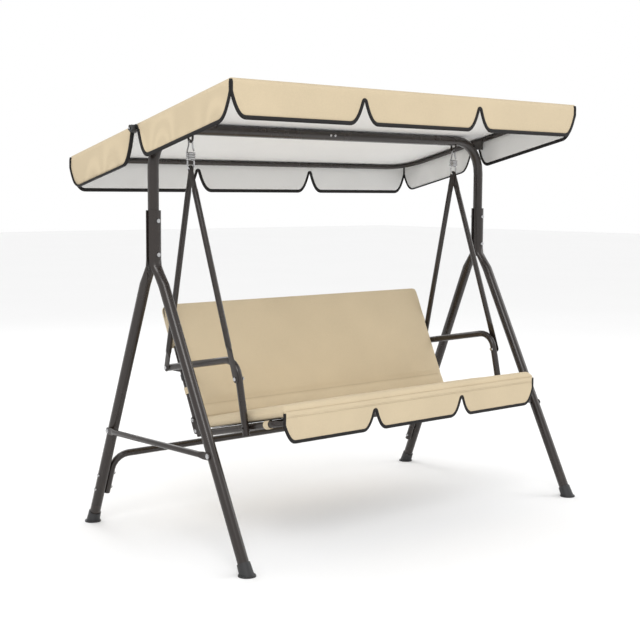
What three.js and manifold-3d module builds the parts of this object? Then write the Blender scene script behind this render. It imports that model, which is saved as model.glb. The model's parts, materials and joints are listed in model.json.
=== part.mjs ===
// Canopy swing bench: a bolted tube frame, a tilting fabric canopy and a three-seat bench on two springs.
// Millimetres, +Z up, +X to the sitter's left-hand end as seen from behind, -Y towards the front.

import * as THREE from 'three';
import { mergeVertices } from 'three/addons/utils/BufferGeometryUtils.js';
import Module from 'manifold-3d';

const wasm = await Module();
wasm.setup();

// ---- driving dimensions -------------------------------------------------------------------------------------

const gap = 0.3;                 // clearance between touching pieces
const wall = 1.2;                // wall of every steel tube

// A-frame
const legX = 820;                // both side frames stand in planes at +-legX
const legRadius = 19;
const frontFootY = -500;
const rearFootY = 400;
const bendHeight = 963;          // where a leg turns upright
const pressedStart = 975;        // above this height a leg is pressed into a half-moon
const pressedTop = 1140;
const uprightRadius = 19;
const uprightBottom = 977;
const topBarHeight = 1414;
const topBendRadius = 130;

// seat suspension
const hangX = 665;               // springs and hanger bars
const swingHeight = 1378.4;      // axis on which the spring hooks swing in their eyes
const coilTop = 1340;
const coilBottom = 1308;
const rockHeight = 1279;         // axis on which the hanger bars rock in the lower hooks

// bench
const seatX = 625;               // side tubes of the seat and of the backrest
const benchTubeRadius = 12.5;
const seatRear = { y: 5, z: 357 };
const seatFront = { y: -442, z: 458 };
const backTop = { y: 200, z: 780 };

// canopy
const canopyX = 857;
const canopyFrontY = -466;
const canopyRearY = 467;
const canopySlope = 0.2412;      // rise towards the front for each millimetre forward
const canopyTopAtBar = 1437;     // top face of the roof, above the top bar
const fabricThickness = 3;
const valanceDepth = 118;
const tiltPivotY = 50;

// The origin is on the floor under the middle of the whole outline, front feet to rear canopy edge.
const footRadius = 29.5;
const centreShift = -(frontFootY - footRadius + canopyRearY) / 2;

// ---- materials ----------------------------------------------------------------------------------------------

const steelPaint = { color: 0x4a4039, roughness: 0.38, metalness: 0.35 };
const chrome = { color: 0xc9cdd2, roughness: 0.18, metalness: 1.0 };
const blackPlastic = { color: 0x17171a, roughness: 0.5, metalness: 0.0 };
const beigeFabric = { color: 0xdcc9a6, roughness: 0.9, metalness: 0.0 };
const slingMesh = { color: 0x3a3632, roughness: 0.85, metalness: 0.0 };

// ---- solids and booleans ------------------------------------------------------------------------------------

function toSolid(geometry) {
  const bare = geometry.clone();
  bare.deleteAttribute('normal');
  bare.deleteAttribute('uv');
  const merged = mergeVertices(bare, 1e-3);
  const index = merged.index.array;
  const corners = [];
  for (let i = 0; i < index.length; i += 3) {
    const [a, b, c] = [index[i], index[i + 1], index[i + 2]];
    if (a !== b && b !== c && a !== c) corners.push(a, b, c);
  }
  const vertProperties = new Float32Array(merged.attributes.position.array);
  const solid = new wasm.Manifold(new wasm.Mesh({ numProp: 3, vertProperties, triVerts: new Uint32Array(corners) }));
  return solid;
}

function toGeometry(solid) {
  const mesh = solid.getMesh();
  const geometry = new THREE.BufferGeometry();
  geometry.setAttribute('position', new THREE.BufferAttribute(mesh.vertProperties, 3));
  geometry.setIndex(new THREE.BufferAttribute(mesh.triVerts, 1));
  geometry.computeVertexNormals();
  return geometry;
}

function join(...geometries) {
  return toGeometry(geometries.map(toSolid).reduce((whole, piece) => whole.add(piece)));
}

function cut(body, ...tools) {
  return toGeometry(tools.map(toSolid).reduce((rest, tool) => rest.subtract(tool), toSolid(body)));
}

function mirrored(geometry) {
  const copy = geometry.clone();
  copy.applyMatrix4(new THREE.Matrix4().makeScale(-1, 1, 1));
  const index = copy.index ? Array.from(copy.index.array) : [...Array(copy.attributes.position.count).keys()];
  for (let i = 0; i < index.length; i += 3) [index[i], index[i + 1]] = [index[i + 1], index[i]];
  copy.setIndex(index);
  return copy;
}

// Triangles that fill a flat outline, wound the same way as the outline itself.
function capFaces(outline) {
  const faces = THREE.ShapeUtils.triangulateShape(outline, []);
  const faceArea = THREE.ShapeUtils.area(faces[0].map((i) => outline[i]));
  const sameWay = Math.sign(faceArea) === Math.sign(THREE.ShapeUtils.area(outline));
  return sameWay ? faces : faces.map(([a, b, c]) => [a, c, b]);
}

// A closed body through a row of outlines that all have the same number of points, with both ends capped.
function loft(outlines, startOutline, endOutline) {
  const count = outlines[0].length;
  const index = [];
  for (let k = 0; k + 1 < outlines.length; k += 1) {
    for (let i = 0; i < count; i += 1) {
      const a = k * count + i;
      const b = k * count + ((i + 1) % count);
      index.push(a, b, b + count, a, b + count, a + count);
    }
  }
  const last = (outlines.length - 1) * count;
  for (const [a, b, c] of capFaces(startOutline)) index.push(a, c, b);
  for (const [a, b, c] of capFaces(endOutline)) index.push(last + a, last + b, last + c);
  const geometry = new THREE.BufferGeometry();
  geometry.setAttribute('position', new THREE.Float32BufferAttribute(outlines.flat().flatMap((p) => p.toArray()), 3));
  geometry.setIndex(index);
  if (signedVolume(geometry) < 0) {
    for (let i = 0; i < index.length; i += 3) [index[i], index[i + 1]] = [index[i + 1], index[i]];
    geometry.setIndex(index);
  }
  return geometry;
}

function roundOutline(points) {
  return Array.from({ length: points }, (_, i) => {
    const angle = (2 * Math.PI * i) / points;
    return new THREE.Vector2(Math.cos(angle), Math.sin(angle));
  });
}

function signedVolume(geometry) {
  const position = geometry.attributes.position;
  const index = geometry.index.array;
  const [a, b, c] = [new THREE.Vector3(), new THREE.Vector3(), new THREE.Vector3()];
  let volume = 0;
  for (let i = 0; i < index.length; i += 3) {
    a.fromBufferAttribute(position, index[i]);
    b.fromBufferAttribute(position, index[i + 1]);
    c.fromBufferAttribute(position, index[i + 2]);
    volume += a.dot(b.cross(c)) / 6;
  }
  return volume;
}

// ---- bent tubes and wires -----------------------------------------------------------------------------------

// A route of straight stretches joined by arcs, with a station only at each end and along each arc.
class BentRoute extends THREE.Curve {
  constructor(corners, bendRadius, arcSteps = 6) {
    super();
    this.stations = [{ point: corners[0], tangent: corners[1].clone().sub(corners[0]).normalize() }];
    for (let i = 1; i + 1 < corners.length; i += 1) {
      const into = corners[i].clone().sub(corners[i - 1]).normalize();
      const outOf = corners[i + 1].clone().sub(corners[i]).normalize();
      const angle = into.angleTo(outOf);
      const start = corners[i].clone().addScaledVector(into, -bendRadius * Math.tan(angle / 2));
      const inward = outOf.clone().addScaledVector(into, -into.dot(outOf)).normalize();
      for (let k = 0; k <= arcSteps; k += 1) {
        const turn = (angle * k) / arcSteps;
        const point = start.clone().addScaledVector(into, bendRadius * Math.sin(turn));
        point.addScaledVector(inward, bendRadius * (1 - Math.cos(turn)));
        const tangent = into.clone().multiplyScalar(Math.cos(turn)).addScaledVector(inward, Math.sin(turn));
        this.stations.push({ point, tangent });
      }
    }
    const end = corners[corners.length - 1];
    this.stations.push({ point: end, tangent: end.clone().sub(corners[corners.length - 2]).normalize() });
    this.steps = this.stations.length - 1;
  }

  getPointAt(u, target = new THREE.Vector3()) {
    return target.copy(this.stations[Math.round(u * this.steps)].point);
  }

  getTangentAt(u, target = new THREE.Vector3()) {
    return target.copy(this.stations[Math.round(u * this.steps)].tangent);
  }
}

function circlePoints(radius, sides) {
  return Array.from({ length: sides }, (_, i) => {
    const angle = (2 * Math.PI * i) / sides;
    return new THREE.Vector2(radius * Math.cos(angle), radius * Math.sin(angle));
  });
}

// A round section swept along a route, with a bore of its own number of sides if it is a tube.
function along(route, radius, boreRadius = 0, sides = 10, boreSides = sides) {
  const section = new THREE.Shape(circlePoints(radius, sides));
  if (boreRadius > 0) section.holes.push(new THREE.Path(circlePoints(boreRadius, boreSides)));
  return new THREE.ExtrudeGeometry(section, { steps: route.steps, extrudePath: route, bevelEnabled: false });
}

function tube(corners, radius, bendRadius = 60, { sides = 10, arcSteps = 5, boreSides = 6 } = {}) {
  return along(new BentRoute(corners, bendRadius, arcSteps), radius, radius - wall, sides, boreSides);
}

// A plain round rod from one point to another, for pins, bores and drill holes.
function rod(from, to, radius, sides = 8) {
  return along(new BentRoute([from, to], 0), radius, 0, sides);
}

const at = (x, y, z) => new THREE.Vector3(x, y, z);

// A straight tube whose two ends are pressed flat across X and drilled for a bolt or a hook.
function pressedTube({ from, to, radius, flatThickness, flatLengths, holeRadius, offsets }) {
  const sides = 12;
  const axis = to.clone().sub(from);
  const length = axis.length();
  axis.normalize();
  const across = new THREE.Vector3(1, 0, 0);
  const wide = across.clone().cross(axis).normalize();
  const flatWidth = radius * 1.32;
  const taper = radius * 2.2;
  const stations = [];
  for (const turn of [78, 45, 15]) {
    const angle = THREE.MathUtils.degToRad(turn);
    stations.push({ s: -flatWidth * Math.sin(angle), half: flatWidth * Math.cos(angle), flat: 1 });
  }
  stations.push({ s: flatLengths[0], half: flatWidth, flat: 1 });
  stations.push({ s: flatLengths[0] + taper * 0.5, half: (flatWidth + radius) / 2, flat: 0.55 });
  stations.push({ s: flatLengths[0] + taper, half: radius, flat: 0 });
  stations.push({ s: length - flatLengths[1] - taper, half: radius, flat: 0 });
  stations.push({ s: length - flatLengths[1] - taper * 0.5, half: (flatWidth + radius) / 2, flat: 0.55 });
  stations.push({ s: length - flatLengths[1], half: flatWidth, flat: 1 });
  for (const turn of [15, 45, 78]) {
    const angle = THREE.MathUtils.degToRad(turn);
    stations.push({ s: length + flatWidth * Math.sin(angle), half: flatWidth * Math.cos(angle), flat: 1 });
  }
  const outlines = stations.map(({ s, half, flat }) => {
    const share = THREE.MathUtils.clamp(s / length, 0, 1);
    const shift = THREE.MathUtils.lerp(offsets[0], offsets[1], share);
    const thick = THREE.MathUtils.lerp(radius, flatThickness / 2, flat);
    const power = THREE.MathUtils.lerp(1, 0.35, flat);
    return Array.from({ length: sides }, (_, i) => {
      const angle = (2 * Math.PI * (i + 0.5)) / sides;
      const w = half * Math.sign(Math.cos(angle)) * Math.abs(Math.cos(angle));
      const t = thick * Math.sign(Math.sin(angle)) * Math.abs(Math.sin(angle)) ** power;
      return from.clone().addScaledVector(axis, s).addScaledVector(wide, w).addScaledVector(across, shift + t);
    });
  });
  const boreMargin = taper + 8;
  const boreStart = flatLengths[0] + boreMargin;
  const boreEnd = length - flatLengths[1] - boreMargin;
  const onAxis = (s) => {
    const shift = THREE.MathUtils.lerp(offsets[0], offsets[1], s / length);
    return from.clone().addScaledVector(axis, s).addScaledVector(across, shift);
  };
  const bore = rod(onAxis(boreStart), onAxis(boreEnd), radius - wall);
  const drainRadius = 2;
  const drainAt = onAxis(boreEnd - 12);
  const drain = rod(drainAt, drainAt.clone().addScaledVector(wide, radius * 2), drainRadius, 8);
  const drill = (point) => rod(at(point.x - 30, point.y, point.z), at(point.x + 30, point.y, point.z), holeRadius);
  return cut(loft(outlines, roundOutline(sides), roundOutline(sides)), bore, drain, drill(from), drill(to));
}

// A hexagon-head bolt with its nut, along a direction, through a stack of the given grip.
function bolt({ head, direction, grip, shankRadius = 4, headRadius = 7.5, headHeight = 5 }) {
  const turn = new THREE.Quaternion().setFromUnitVectors(new THREE.Vector3(0, 1, 0), direction);
  const part = (radius, height, start, sides) => {
    const geometry = new THREE.CylinderGeometry(radius, radius, height, sides);
    geometry.translate(0, start + height / 2, 0);
    return geometry;
  };
  const tail = 2.5;
  const overlap = 0.5;
  const whole = join(
    part(headRadius, headHeight, -headHeight, 6),
    part(shankRadius, grip + headHeight + tail + overlap, -overlap, 8),
    part(headRadius, headHeight, grip, 6),
  );
  whole.applyQuaternion(turn);
  whole.translate(head.x, head.y, head.z);
  return whole;
}

// ---- A-frame ------------------------------------------------------------------------------------------------

const pressedInner = uprightRadius + 0.6;
const pressedOuter = pressedInner + 5.9;
const pressedMiddle = (pressedInner + pressedOuter) / 2;

// Centre line of a leg: from its foot to the bend beside the upright. side is -1 for the front leg, 1 for the rear.
function legLine(side) {
  const foot = at(0, side < 0 ? frontFootY : rearFootY, 0);
  const bend = at(0, side * pressedMiddle, bendHeight);
  return { foot, direction: bend.clone().sub(foot).normalize() };
}

function pointOnLeg(side, height) {
  const { foot, direction } = legLine(side);
  return foot.clone().addScaledVector(direction, height / direction.z);
}

const roundPoints = 20;

function legOutline(side, height, pressed) {
  const { direction } = legLine(side);
  const centre = pointOnLeg(side, Math.min(height, bendHeight));
  const across = new THREE.Vector3(1, 0, 0);
  const outward = direction.clone().cross(across).multiplyScalar(side < 0 ? -1 : 1);
  if (Math.sign(outward.y) !== side) outward.negate();
  const half = roundPoints / 2;
  const pressedSpan = THREE.MathUtils.degToRad(72);
  return Array.from({ length: roundPoints }, (_, i) => {
    const share = (i % half) / (half - 1);
    const outer = i < half;
    const swept = outer ? -1 + 2 * share : 1 - 2 * share;
    const roundAngle = (2 * Math.PI * (i + 0.5)) / roundPoints - Math.PI / 2;
    const round = centre.clone().addScaledVector(across, legRadius * Math.sin(roundAngle));
    round.addScaledVector(outward, legRadius * Math.cos(roundAngle));
    const arc = outer ? pressedOuter : pressedInner;
    const moon = at(arc * Math.sin(swept * pressedSpan), side * arc * Math.cos(swept * pressedSpan), height);
    return round.lerp(moon, pressed);
  });
}

const legBoltHeights = [1105, 992];
const stretcherBoltHeights = [185, 130];

function leg(x, side) {
  const footStart = 16.2;
  const stations = [[footStart, 0], [890, 0], [925, 0.3], [952, 0.8], [pressedStart, 1], [pressedTop, 1]];
  const outlines = stations.map(([height, pressed]) => legOutline(side, height, pressed));
  const moonOutline = outlines[outlines.length - 1].map((p) => new THREE.Vector2(p.x, p.y));
  const body = loft(outlines, roundOutline(roundPoints), moonOutline);
  const boreTop = 880;
  const bore = rod(pointOnLeg(side, -60), pointOnLeg(side, boreTop), legRadius - wall, 12);
  const holeRadius = 4.5;
  const holes = legBoltHeights.map((height) => rod(at(0, side * 10, height), at(0, side * 40, height), holeRadius));
  if (side > 0) {
    for (const height of stretcherBoltHeights) {
      const { y, z } = pointOnLeg(side, height);
      holes.push(rod(at(-30, y, z), at(30, y, z), 3.7));
    }
  }
  const { y, z } = pointOnLeg(side, braceHeight);
  holes.push(rod(at(-30, y, z), at(30, y, z), 3.7));
  const geometry = cut(body, bore, ...holes);
  geometry.translate(x, 0, 0);
  return geometry;
}

const braceHeight = 357;

function footCap(x, side) {
  const { direction } = legLine(side);
  const capHeight = 42;
  const collarTopRadius = 22;
  const collarBottomRadius = 26;
  const flangeHeight = 5;
  const flange = new THREE.CylinderGeometry(footRadius - 1, footRadius, flangeHeight, 20);
  flange.rotateX(Math.PI / 2);
  flange.translate(0, 0, flangeHeight / 2);
  const sunk = 30;
  const collar = new THREE.CylinderGeometry(collarTopRadius, collarBottomRadius, capHeight + sunk, 16);
  collar.translate(0, (capHeight - sunk) / 2, 0);
  collar.applyQuaternion(new THREE.Quaternion().setFromUnitVectors(new THREE.Vector3(0, 1, 0), direction));
  const below = new THREE.BoxGeometry(200, 200, 100);
  below.translate(0, 0, -50);
  const socket = rod(direction.clone().multiplyScalar(15.4 / direction.z), direction.clone().multiplyScalar(120), legRadius + 2 * gap, 16);
  const geometry = cut(join(flange, collar), below, socket);
  const foot = legLine(side).foot;
  geometry.translate(x, foot.y, 0);
  return geometry;
}

// ---- top bar with its welded spring eyes -------------------------------------------------------------------

// The reduced end of a tube that slides into its neighbour, drawn along -X from a shoulder just inside the tube.
function spigot(tubeRadius, reach, shoulder, sides) {
  const outer = tubeRadius - wall - 0.7;
  const inner = outer - wall;
  const shoulderRadius = tubeRadius - wall / 2;
  const profile = [
    [inner, -reach], [outer, -reach], [outer, gap], [shoulderRadius, gap],
    [shoulderRadius, shoulder], [inner, shoulder], [inner, -reach],
  ].map(([radius, height]) => new THREE.Vector2(radius, height));
  const geometry = new THREE.LatheGeometry(profile, sides);
  geometry.rotateZ(-Math.PI / 2);
  return geometry;
}

const jointScrewX = [-12, -34];

function springEye() {
  const wireRadius = 4;
  const loopHalf = 12;
  const bottom = swingHeight - 3 - gap - 0.1 - wireRadius;
  const top = topBarHeight - uprightRadius + 4;
  const corners = [
    at(hangX, -loopHalf, top), at(hangX, -loopHalf, bottom), at(hangX, loopHalf, bottom), at(hangX, loopHalf, top),
  ];
  return along(new BentRoute(corners, loopHalf - 0.01, 3), wireRadius, 0, 8);
}

// One L-bent half of the top bar, drawn at +X, reaching to the joint in the middle.
function barHalf() {
  const corners = [at(legX, 0, uprightBottom), at(legX, 0, topBarHeight), at(gap / 2, 0, topBarHeight)];
  const bar = tube(corners, uprightRadius, topBendRadius, { sides: 16, arcSteps: 7, boreSides: 16 });
  const holes = legBoltHeights.map((height) => rod(at(legX, -30, height), at(legX, 30, height), 4.5));
  return join(cut(bar, ...holes), cut(springEye(), boreOfBar()));
}

function boreOfBar() {
  return rod(at(hangX - 30, 0, topBarHeight), at(hangX + 30, 0, topBarHeight), uprightRadius - wall / 2, 16);
}

function screwHoles() {
  return jointScrewX.map((x) => rod(at(x, -30, topBarHeight), at(x, 0, topBarHeight), 2.9, 8));
}

function leftBar() {
  return cut(mirrored(barHalf()), ...screwHoles());
}

function rightBar() {
  const reach = 80;
  const shoulder = 18;
  const joint = spigot(uprightRadius, reach, shoulder, 16);
  joint.translate(0, 0, topBarHeight);
  return cut(join(barHalf(), joint), ...screwHoles());
}

function jointScrew(x) {
  const headRadius = 5;
  const headHeight = 2.6;
  const shank = 2.5;
  const reach = 9;
  const y = -uprightRadius - gap;
  const profile = [
    [0, reach], [shank, reach], [shank, 0], [headRadius, 0], [headRadius * 0.86, -headHeight * 0.7],
    [headRadius * 0.5, -headHeight], [0, -headHeight],
  ].map(([radius, height]) => new THREE.Vector2(radius, height));
  const geometry = new THREE.LatheGeometry(profile.reverse(), 8);
  geometry.translate(x, y, topBarHeight);
  return geometry;
}

// ---- side braces and rear stretcher ------------------------------------------------------------------------

function brace(sign) {
  const radius = 10;
  const flatThickness = 3.6;
  const front = pointOnLeg(-1, braceHeight);
  const rear = pointOnLeg(1, braceHeight);
  const x = sign * (legX + legRadius + gap + flatThickness / 2);
  return pressedTube({
    from: at(x, front.y, front.z), to: at(x, rear.y, rear.z), radius, flatThickness,
    flatLengths: [22, 22], holeRadius: 3.6, offsets: [0, 0],
  });
}

const stretcherRadius = 12.5;
const stretcherX = legX - legRadius - gap - stretcherRadius;

function stretcher() {
  const low = pointOnLeg(1, 112);
  const high = pointOnLeg(1, 258);
  const corners = [
    at(-stretcherX, low.y, low.z), at(-stretcherX, high.y, high.z),
    at(stretcherX, high.y, high.z), at(stretcherX, low.y, low.z),
  ];
  const holes = [];
  for (const sign of [-1, 1]) {
    for (const height of stretcherBoltHeights) {
      const { y, z } = pointOnLeg(1, height);
      holes.push(rod(at(sign * (stretcherX - 20), y, z), at(sign * (stretcherX + 20), y, z), 3.7));
    }
  }
  return cut(tube(corners, stretcherRadius, 55), ...holes);
}

function stretcherBolt(sign, height) {
  const { y, z } = pointOnLeg(1, height);
  const grip = 2 * legRadius + gap + 2 * stretcherRadius + 2 * gap;
  const head = at(sign * (legX + legRadius + gap), y, z);
  return bolt({ head, direction: at(-sign, 0, 0), grip, shankRadius: 3, headRadius: 6, headHeight: 4 });
}

function legBolt(x, height) {
  const grip = 2 * (pressedOuter + gap);
  return bolt({ head: at(x, -pressedOuter - gap, height), direction: at(0, 1, 0), grip });
}

// ---- canopy ------------------------------------------------------------------------------------------------

const canopyTubeRadius = 9.5;
const roofUnderAtBar = canopyTopAtBar - fabricThickness;
const canopyAngle = Math.atan(canopySlope);
const railAtBar = roofUnderAtBar - (canopyTubeRadius + 0.7) / Math.cos(canopyAngle);
const canopyTubeInset = fabricThickness + canopyTubeRadius + 1.5;
const canopyTubeFront = canopyFrontY + canopyTubeInset;
const canopyTubeRear = canopyRearY - canopyTubeInset;
const railX = canopyX - canopyTubeInset;
const railHeight = (y) => railAtBar - canopySlope * y;

// One half of the front or rear canopy tube, drawn at +X, with its rounded corner and a short leg towards the rail.
function canopyTubeHalf(y) {
  const cornerRadius = 110;
  const towards = y < 0 ? 1 : -1;
  const railEnd = y + towards * cornerLegReach;
  const corners = [
    at(gap / 2, y, railHeight(y)), at(railX, y, railHeight(y)), at(railX, railEnd, railHeight(railEnd)),
  ];
  return tube(corners, canopyTubeRadius, cornerRadius, { boreSides: 10 });
}

const pivotBoltRadius = 3.5;
const tiltPivot = { y: tiltPivotY, z: railHeight(tiltPivotY) };
const cornerLegReach = 150;

function canopyTubeJoined(y) {
  const reach = 45;
  const joint = spigot(canopyTubeRadius, reach, 12, 10);
  joint.translate(0, y, railHeight(y));
  return join(canopyTubeHalf(y), joint);
}

// A side rail between the two corner tubes, reduced at both ends to slide into them.
function sideRail() {
  const front = canopyTubeFront + cornerLegReach + gap;
  const rear = canopyTubeRear - cornerLegReach - gap;
  const line = [at(railX, front, railHeight(front)), at(railX, rear, railHeight(rear))];
  const rail = tube(line, canopyTubeRadius, 0, { boreSides: 10 });
  const reach = 40;
  const ends = [[front, -1], [rear, 1]].map(([y, way]) => {
    const joint = spigot(canopyTubeRadius, reach, 12, 10);
    const slope = at(0, way, -way * canopySlope).normalize();
    joint.applyQuaternion(new THREE.Quaternion().setFromUnitVectors(at(-1, 0, 0), slope));
    joint.translate(railX, y, railHeight(y));
    return joint;
  });
  const hole = rod(at(railX - 20, tiltPivot.y, tiltPivot.z), at(railX + 20, tiltPivot.y, tiltPivot.z), pivotBoltRadius + gap);
  return cut(join(rail, ...ends), hole);
}

// The bracket is an angle welded to the outside of the bar's bend, with a tab that carries the canopy's pivot bolt.
const bracketX = railX - canopyTubeRadius - 0.5;
const bracketThickness = 4;

function tiltBracket() {
  const footHeight = 1385;
  const footInner = 790;
  const foot = new THREE.BoxGeometry(bracketX - footInner, 26, bracketThickness);
  foot.translate((bracketX + footInner) / 2, 0, footHeight);
  const tab = new THREE.Shape();
  const tabRadius = 9;
  tab.moveTo(-13, footHeight - bracketThickness / 2);
  tab.lineTo(tiltPivot.y - 12, footHeight - bracketThickness / 2);
  tab.absarc(tiltPivot.y, tiltPivot.z, tabRadius, -Math.PI / 3, Math.PI / 2);
  tab.lineTo(-4, tiltPivot.z + tabRadius);
  tab.absarc(-4, tiltPivot.z, tabRadius, Math.PI / 2, Math.PI);
  const plate = new THREE.ExtrudeGeometry(tab, { depth: bracketThickness, bevelEnabled: false, curveSegments: 6 });
  plate.applyMatrix4(new THREE.Matrix4().makeBasis(at(0, 1, 0), at(0, 0, 1), at(1, 0, 0)));
  plate.translate(bracketX - bracketThickness, 0, 0);
  const bend = [at(legX, 0, uprightBottom), at(legX, 0, topBarHeight), at(0, 0, topBarHeight)];
  const clearance = along(new BentRoute(bend, topBendRadius, 7), uprightRadius + gap, 0, 16);
  const hole = rod(at(bracketX - 20, tiltPivot.y, tiltPivot.z), at(bracketX + 20, tiltPivot.y, tiltPivot.z), pivotBoltRadius + gap);
  return cut(join(foot, plate), clearance, hole);
}

const knobInner = canopyX + 3;

function pivotBolt() {
  const start = bracketX - bracketThickness - gap;
  const end = knobInner + 21;
  const profile = [
    [0, -5], [6.2, -5], [6.2, 0], [pivotBoltRadius, 0], [pivotBoltRadius, end - start], [0, end - start],
  ].map(([radius, height]) => new THREE.Vector2(radius, height));
  const geometry = new THREE.LatheGeometry(profile, 12);
  geometry.rotateZ(-Math.PI / 2);
  geometry.translate(start, tiltPivot.y, tiltPivot.z);
  return geometry;
}

// A hand knob with a round hub and five lobes.
function tiltKnob() {
  const hubRadius = 11;
  const lobeDepth = 3;
  const lobes = 5;
  const points = 30;
  const outline = new THREE.Shape(Array.from({ length: points }, (_, i) => {
    const angle = (2 * Math.PI * i) / points;
    const radius = hubRadius + lobeDepth * (0.5 + 0.5 * Math.cos(lobes * angle));
    return new THREE.Vector2(radius * Math.cos(angle), radius * Math.sin(angle));
  }));
  outline.holes.push(new THREE.Path(circlePoints(pivotBoltRadius + 0.6, 10)));
  const knob = new THREE.ExtrudeGeometry(outline, {
    depth: 14, bevelEnabled: true, bevelThickness: 1.5, bevelSize: 1.2, bevelOffset: -1.2, bevelSegments: 1, curveSegments: 6,
  });
  knob.rotateY(Math.PI / 2);
  knob.translate(knobInner + 1.5, tiltPivot.y, tiltPivot.z);
  return knob;
}

// The outline of a hanging valance: top edge at 0, lower edge at -depth, rounded ends and flared notches.
function valanceShape({ length, depth, notches, notchTop, notchRadius, flare, endRise, endRun }) {
  const half = length / 2;
  const shoulder = -notchTop - notchRadius;
  const shape = new THREE.Shape();
  shape.moveTo(-half, 0);
  shape.lineTo(-half, -depth + endRise);
  shape.bezierCurveTo(-half, -depth + endRise * 0.3, -half + endRun * 0.35, -depth, -half + endRun, -depth);
  for (const middle of notches) {
    const left = middle - notchRadius;
    const right = middle + notchRadius;
    shape.lineTo(left - flare, -depth);
    shape.bezierCurveTo(left - flare * 0.4, -depth, left - 2, -depth + endRise * 0.35, left, shoulder);
    shape.absarc(middle, shoulder, notchRadius, Math.PI, 0, true);
    shape.bezierCurveTo(right + 2, -depth + endRise * 0.35, right + flare * 0.4, -depth, right + flare, -depth);
  }
  shape.lineTo(half - endRun, -depth);
  shape.bezierCurveTo(half - endRun * 0.35, -depth, half, -depth + endRise * 0.3, half, -depth + endRise);
  shape.lineTo(half, 0);
  return shape;
}

function sheetAcross(shape, thickness) {
  return new THREE.ExtrudeGeometry(shape, { depth: thickness, bevelEnabled: false, curveSegments: 4 });
}

const canopyNotchX = 290;

// The cover is drawn level and then sheared, so that its roof slopes while its valances hang plumb.
function canopyCover() {
  const cornerSlit = 2;
  const depthY = canopyRearY - canopyFrontY;
  const middleY = (canopyRearY + canopyFrontY) / 2;
  const roof = new THREE.BoxGeometry(2 * canopyX, depthY, fabricThickness);
  roof.translate(0, middleY, -fabricThickness / 2);
  const frontLength = 2 * (canopyX - fabricThickness - cornerSlit);
  const hang = { depth: valanceDepth, flare: 46, endRise: 78, endRun: 52 };
  const longNotches = { notches: [-canopyNotchX, canopyNotchX], notchTop: 40, notchRadius: 8 };
  const long = sheetAcross(valanceShape({ length: frontLength, ...hang, ...longNotches }), fabricThickness);
  long.rotateX(Math.PI / 2);
  const front = long.clone();
  front.translate(0, canopyFrontY + fabricThickness, -0.5);
  const rear = long.clone();
  rear.translate(0, canopyRearY, -0.5);
  const sideNotch = tiltPivot.y - middleY;
  const sideNotches = { notches: [sideNotch], notchTop: 4, notchRadius: 16 };
  const side = sheetAcross(valanceShape({ length: depthY, ...hang, ...sideNotches }), fabricThickness);
  side.applyMatrix4(new THREE.Matrix4().makeBasis(at(0, 1, 0), at(0, 0, 1), at(1, 0, 0)));
  side.translate(canopyX - fabricThickness, middleY, -0.5);
  const otherSide = side.clone();
  otherSide.translate(-2 * canopyX + fabricThickness, 0, 0);
  const level = join(roof, front, rear, side, otherSide);
  const shear = new THREE.Matrix4().set(1, 0, 0, 0, 0, 1, 0, 0, 0, -canopySlope, 1, canopyTopAtBar, 0, 0, 0, 1);
  level.applyMatrix4(shear);
  return level;
}

// ---- springs -----------------------------------------------------------------------------------------------

const hookWire = 3;
const coilWire = 2.8;
const coilRadius = 14;

// The upper hook is an arch over the eye, with its two legs spreading down to the coil.
function upperHook(x) {
  const arch = 7.9;
  const legTop = swingHeight - 18;
  const corners = [
    at(x - coilRadius, 0, coilTop + gap), at(x - arch, 0, legTop), at(x - arch, 0, swingHeight),
    at(x + arch, 0, swingHeight), at(x + arch, 0, legTop), at(x + coilRadius, 0, coilTop + gap),
  ];
  return along(new BentRoute(corners, arch - 0.05, 3), hookWire, 0, 8);
}

function lowerHook(x) {
  const corners = [
    at(x - coilRadius, 0, coilBottom - gap), at(x - coilRadius, 0, rockHeight),
    at(x + coilRadius, 0, rockHeight), at(x + coilRadius, 0, coilBottom - gap),
  ];
  return along(new BentRoute(corners, coilRadius - 0.05, 5), hookWire, 0, 8);
}

class Helix extends THREE.Curve {
  constructor(radius, bottom, top, turns) {
    super();
    Object.assign(this, { radius, bottom, top, turns });
    this.steps = Math.round(turns * 8);
  }

  getPoint(t, target = new THREE.Vector3()) {
    const angle = 2 * Math.PI * this.turns * t;
    const height = this.bottom + (this.top - this.bottom) * t;
    return target.set(this.radius * Math.cos(angle), this.radius * Math.sin(angle), height);
  }
}

function springCoil(x) {
  const turns = 4.5;
  const coil = along(new Helix(coilRadius, coilBottom + coilWire, coilTop - coilWire, turns), coilWire, 0, 6);
  coil.translate(x, 0, 0);
  return coil;
}

// ---- bench -------------------------------------------------------------------------------------------------

const armrestX = seatX + 2 * benchTubeRadius + gap;
const seatSlope = (seatFront.z - seatRear.z) / (seatRear.y - seatFront.y);
const seatAngle = Math.atan(seatSlope);
const seatHeight = (y) => seatRear.z + (seatRear.y - y) * seatSlope;
const backLean = Math.atan((backTop.y - seatRear.y) / (backTop.z - seatRear.z));
const backLength = Math.hypot(backTop.y - seatRear.y, backTop.z - seatRear.z);

const armrestCorner = { y: -232, z: 648 };
const postFoot = { y: -286, z: 396 };
const postSlope = (armrestCorner.y - postFoot.y) / (armrestCorner.z - postFoot.z);
const postY = (z) => postFoot.y + (z - postFoot.z) * postSlope;
const postJointZ = 421;
const hangerFront = { y: postY(582), z: 582 };
const hangerRear = { y: 150, z: 579 };
const flatPlate = 3;
const hangerFootX = armrestX + benchTubeRadius + gap + flatPlate / 2;
const boltHole = 4;

function pointOnBack(distance) {
  return { y: seatRear.y + distance * Math.sin(backLean), z: seatRear.z + distance * Math.cos(backLean) };
}

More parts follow.
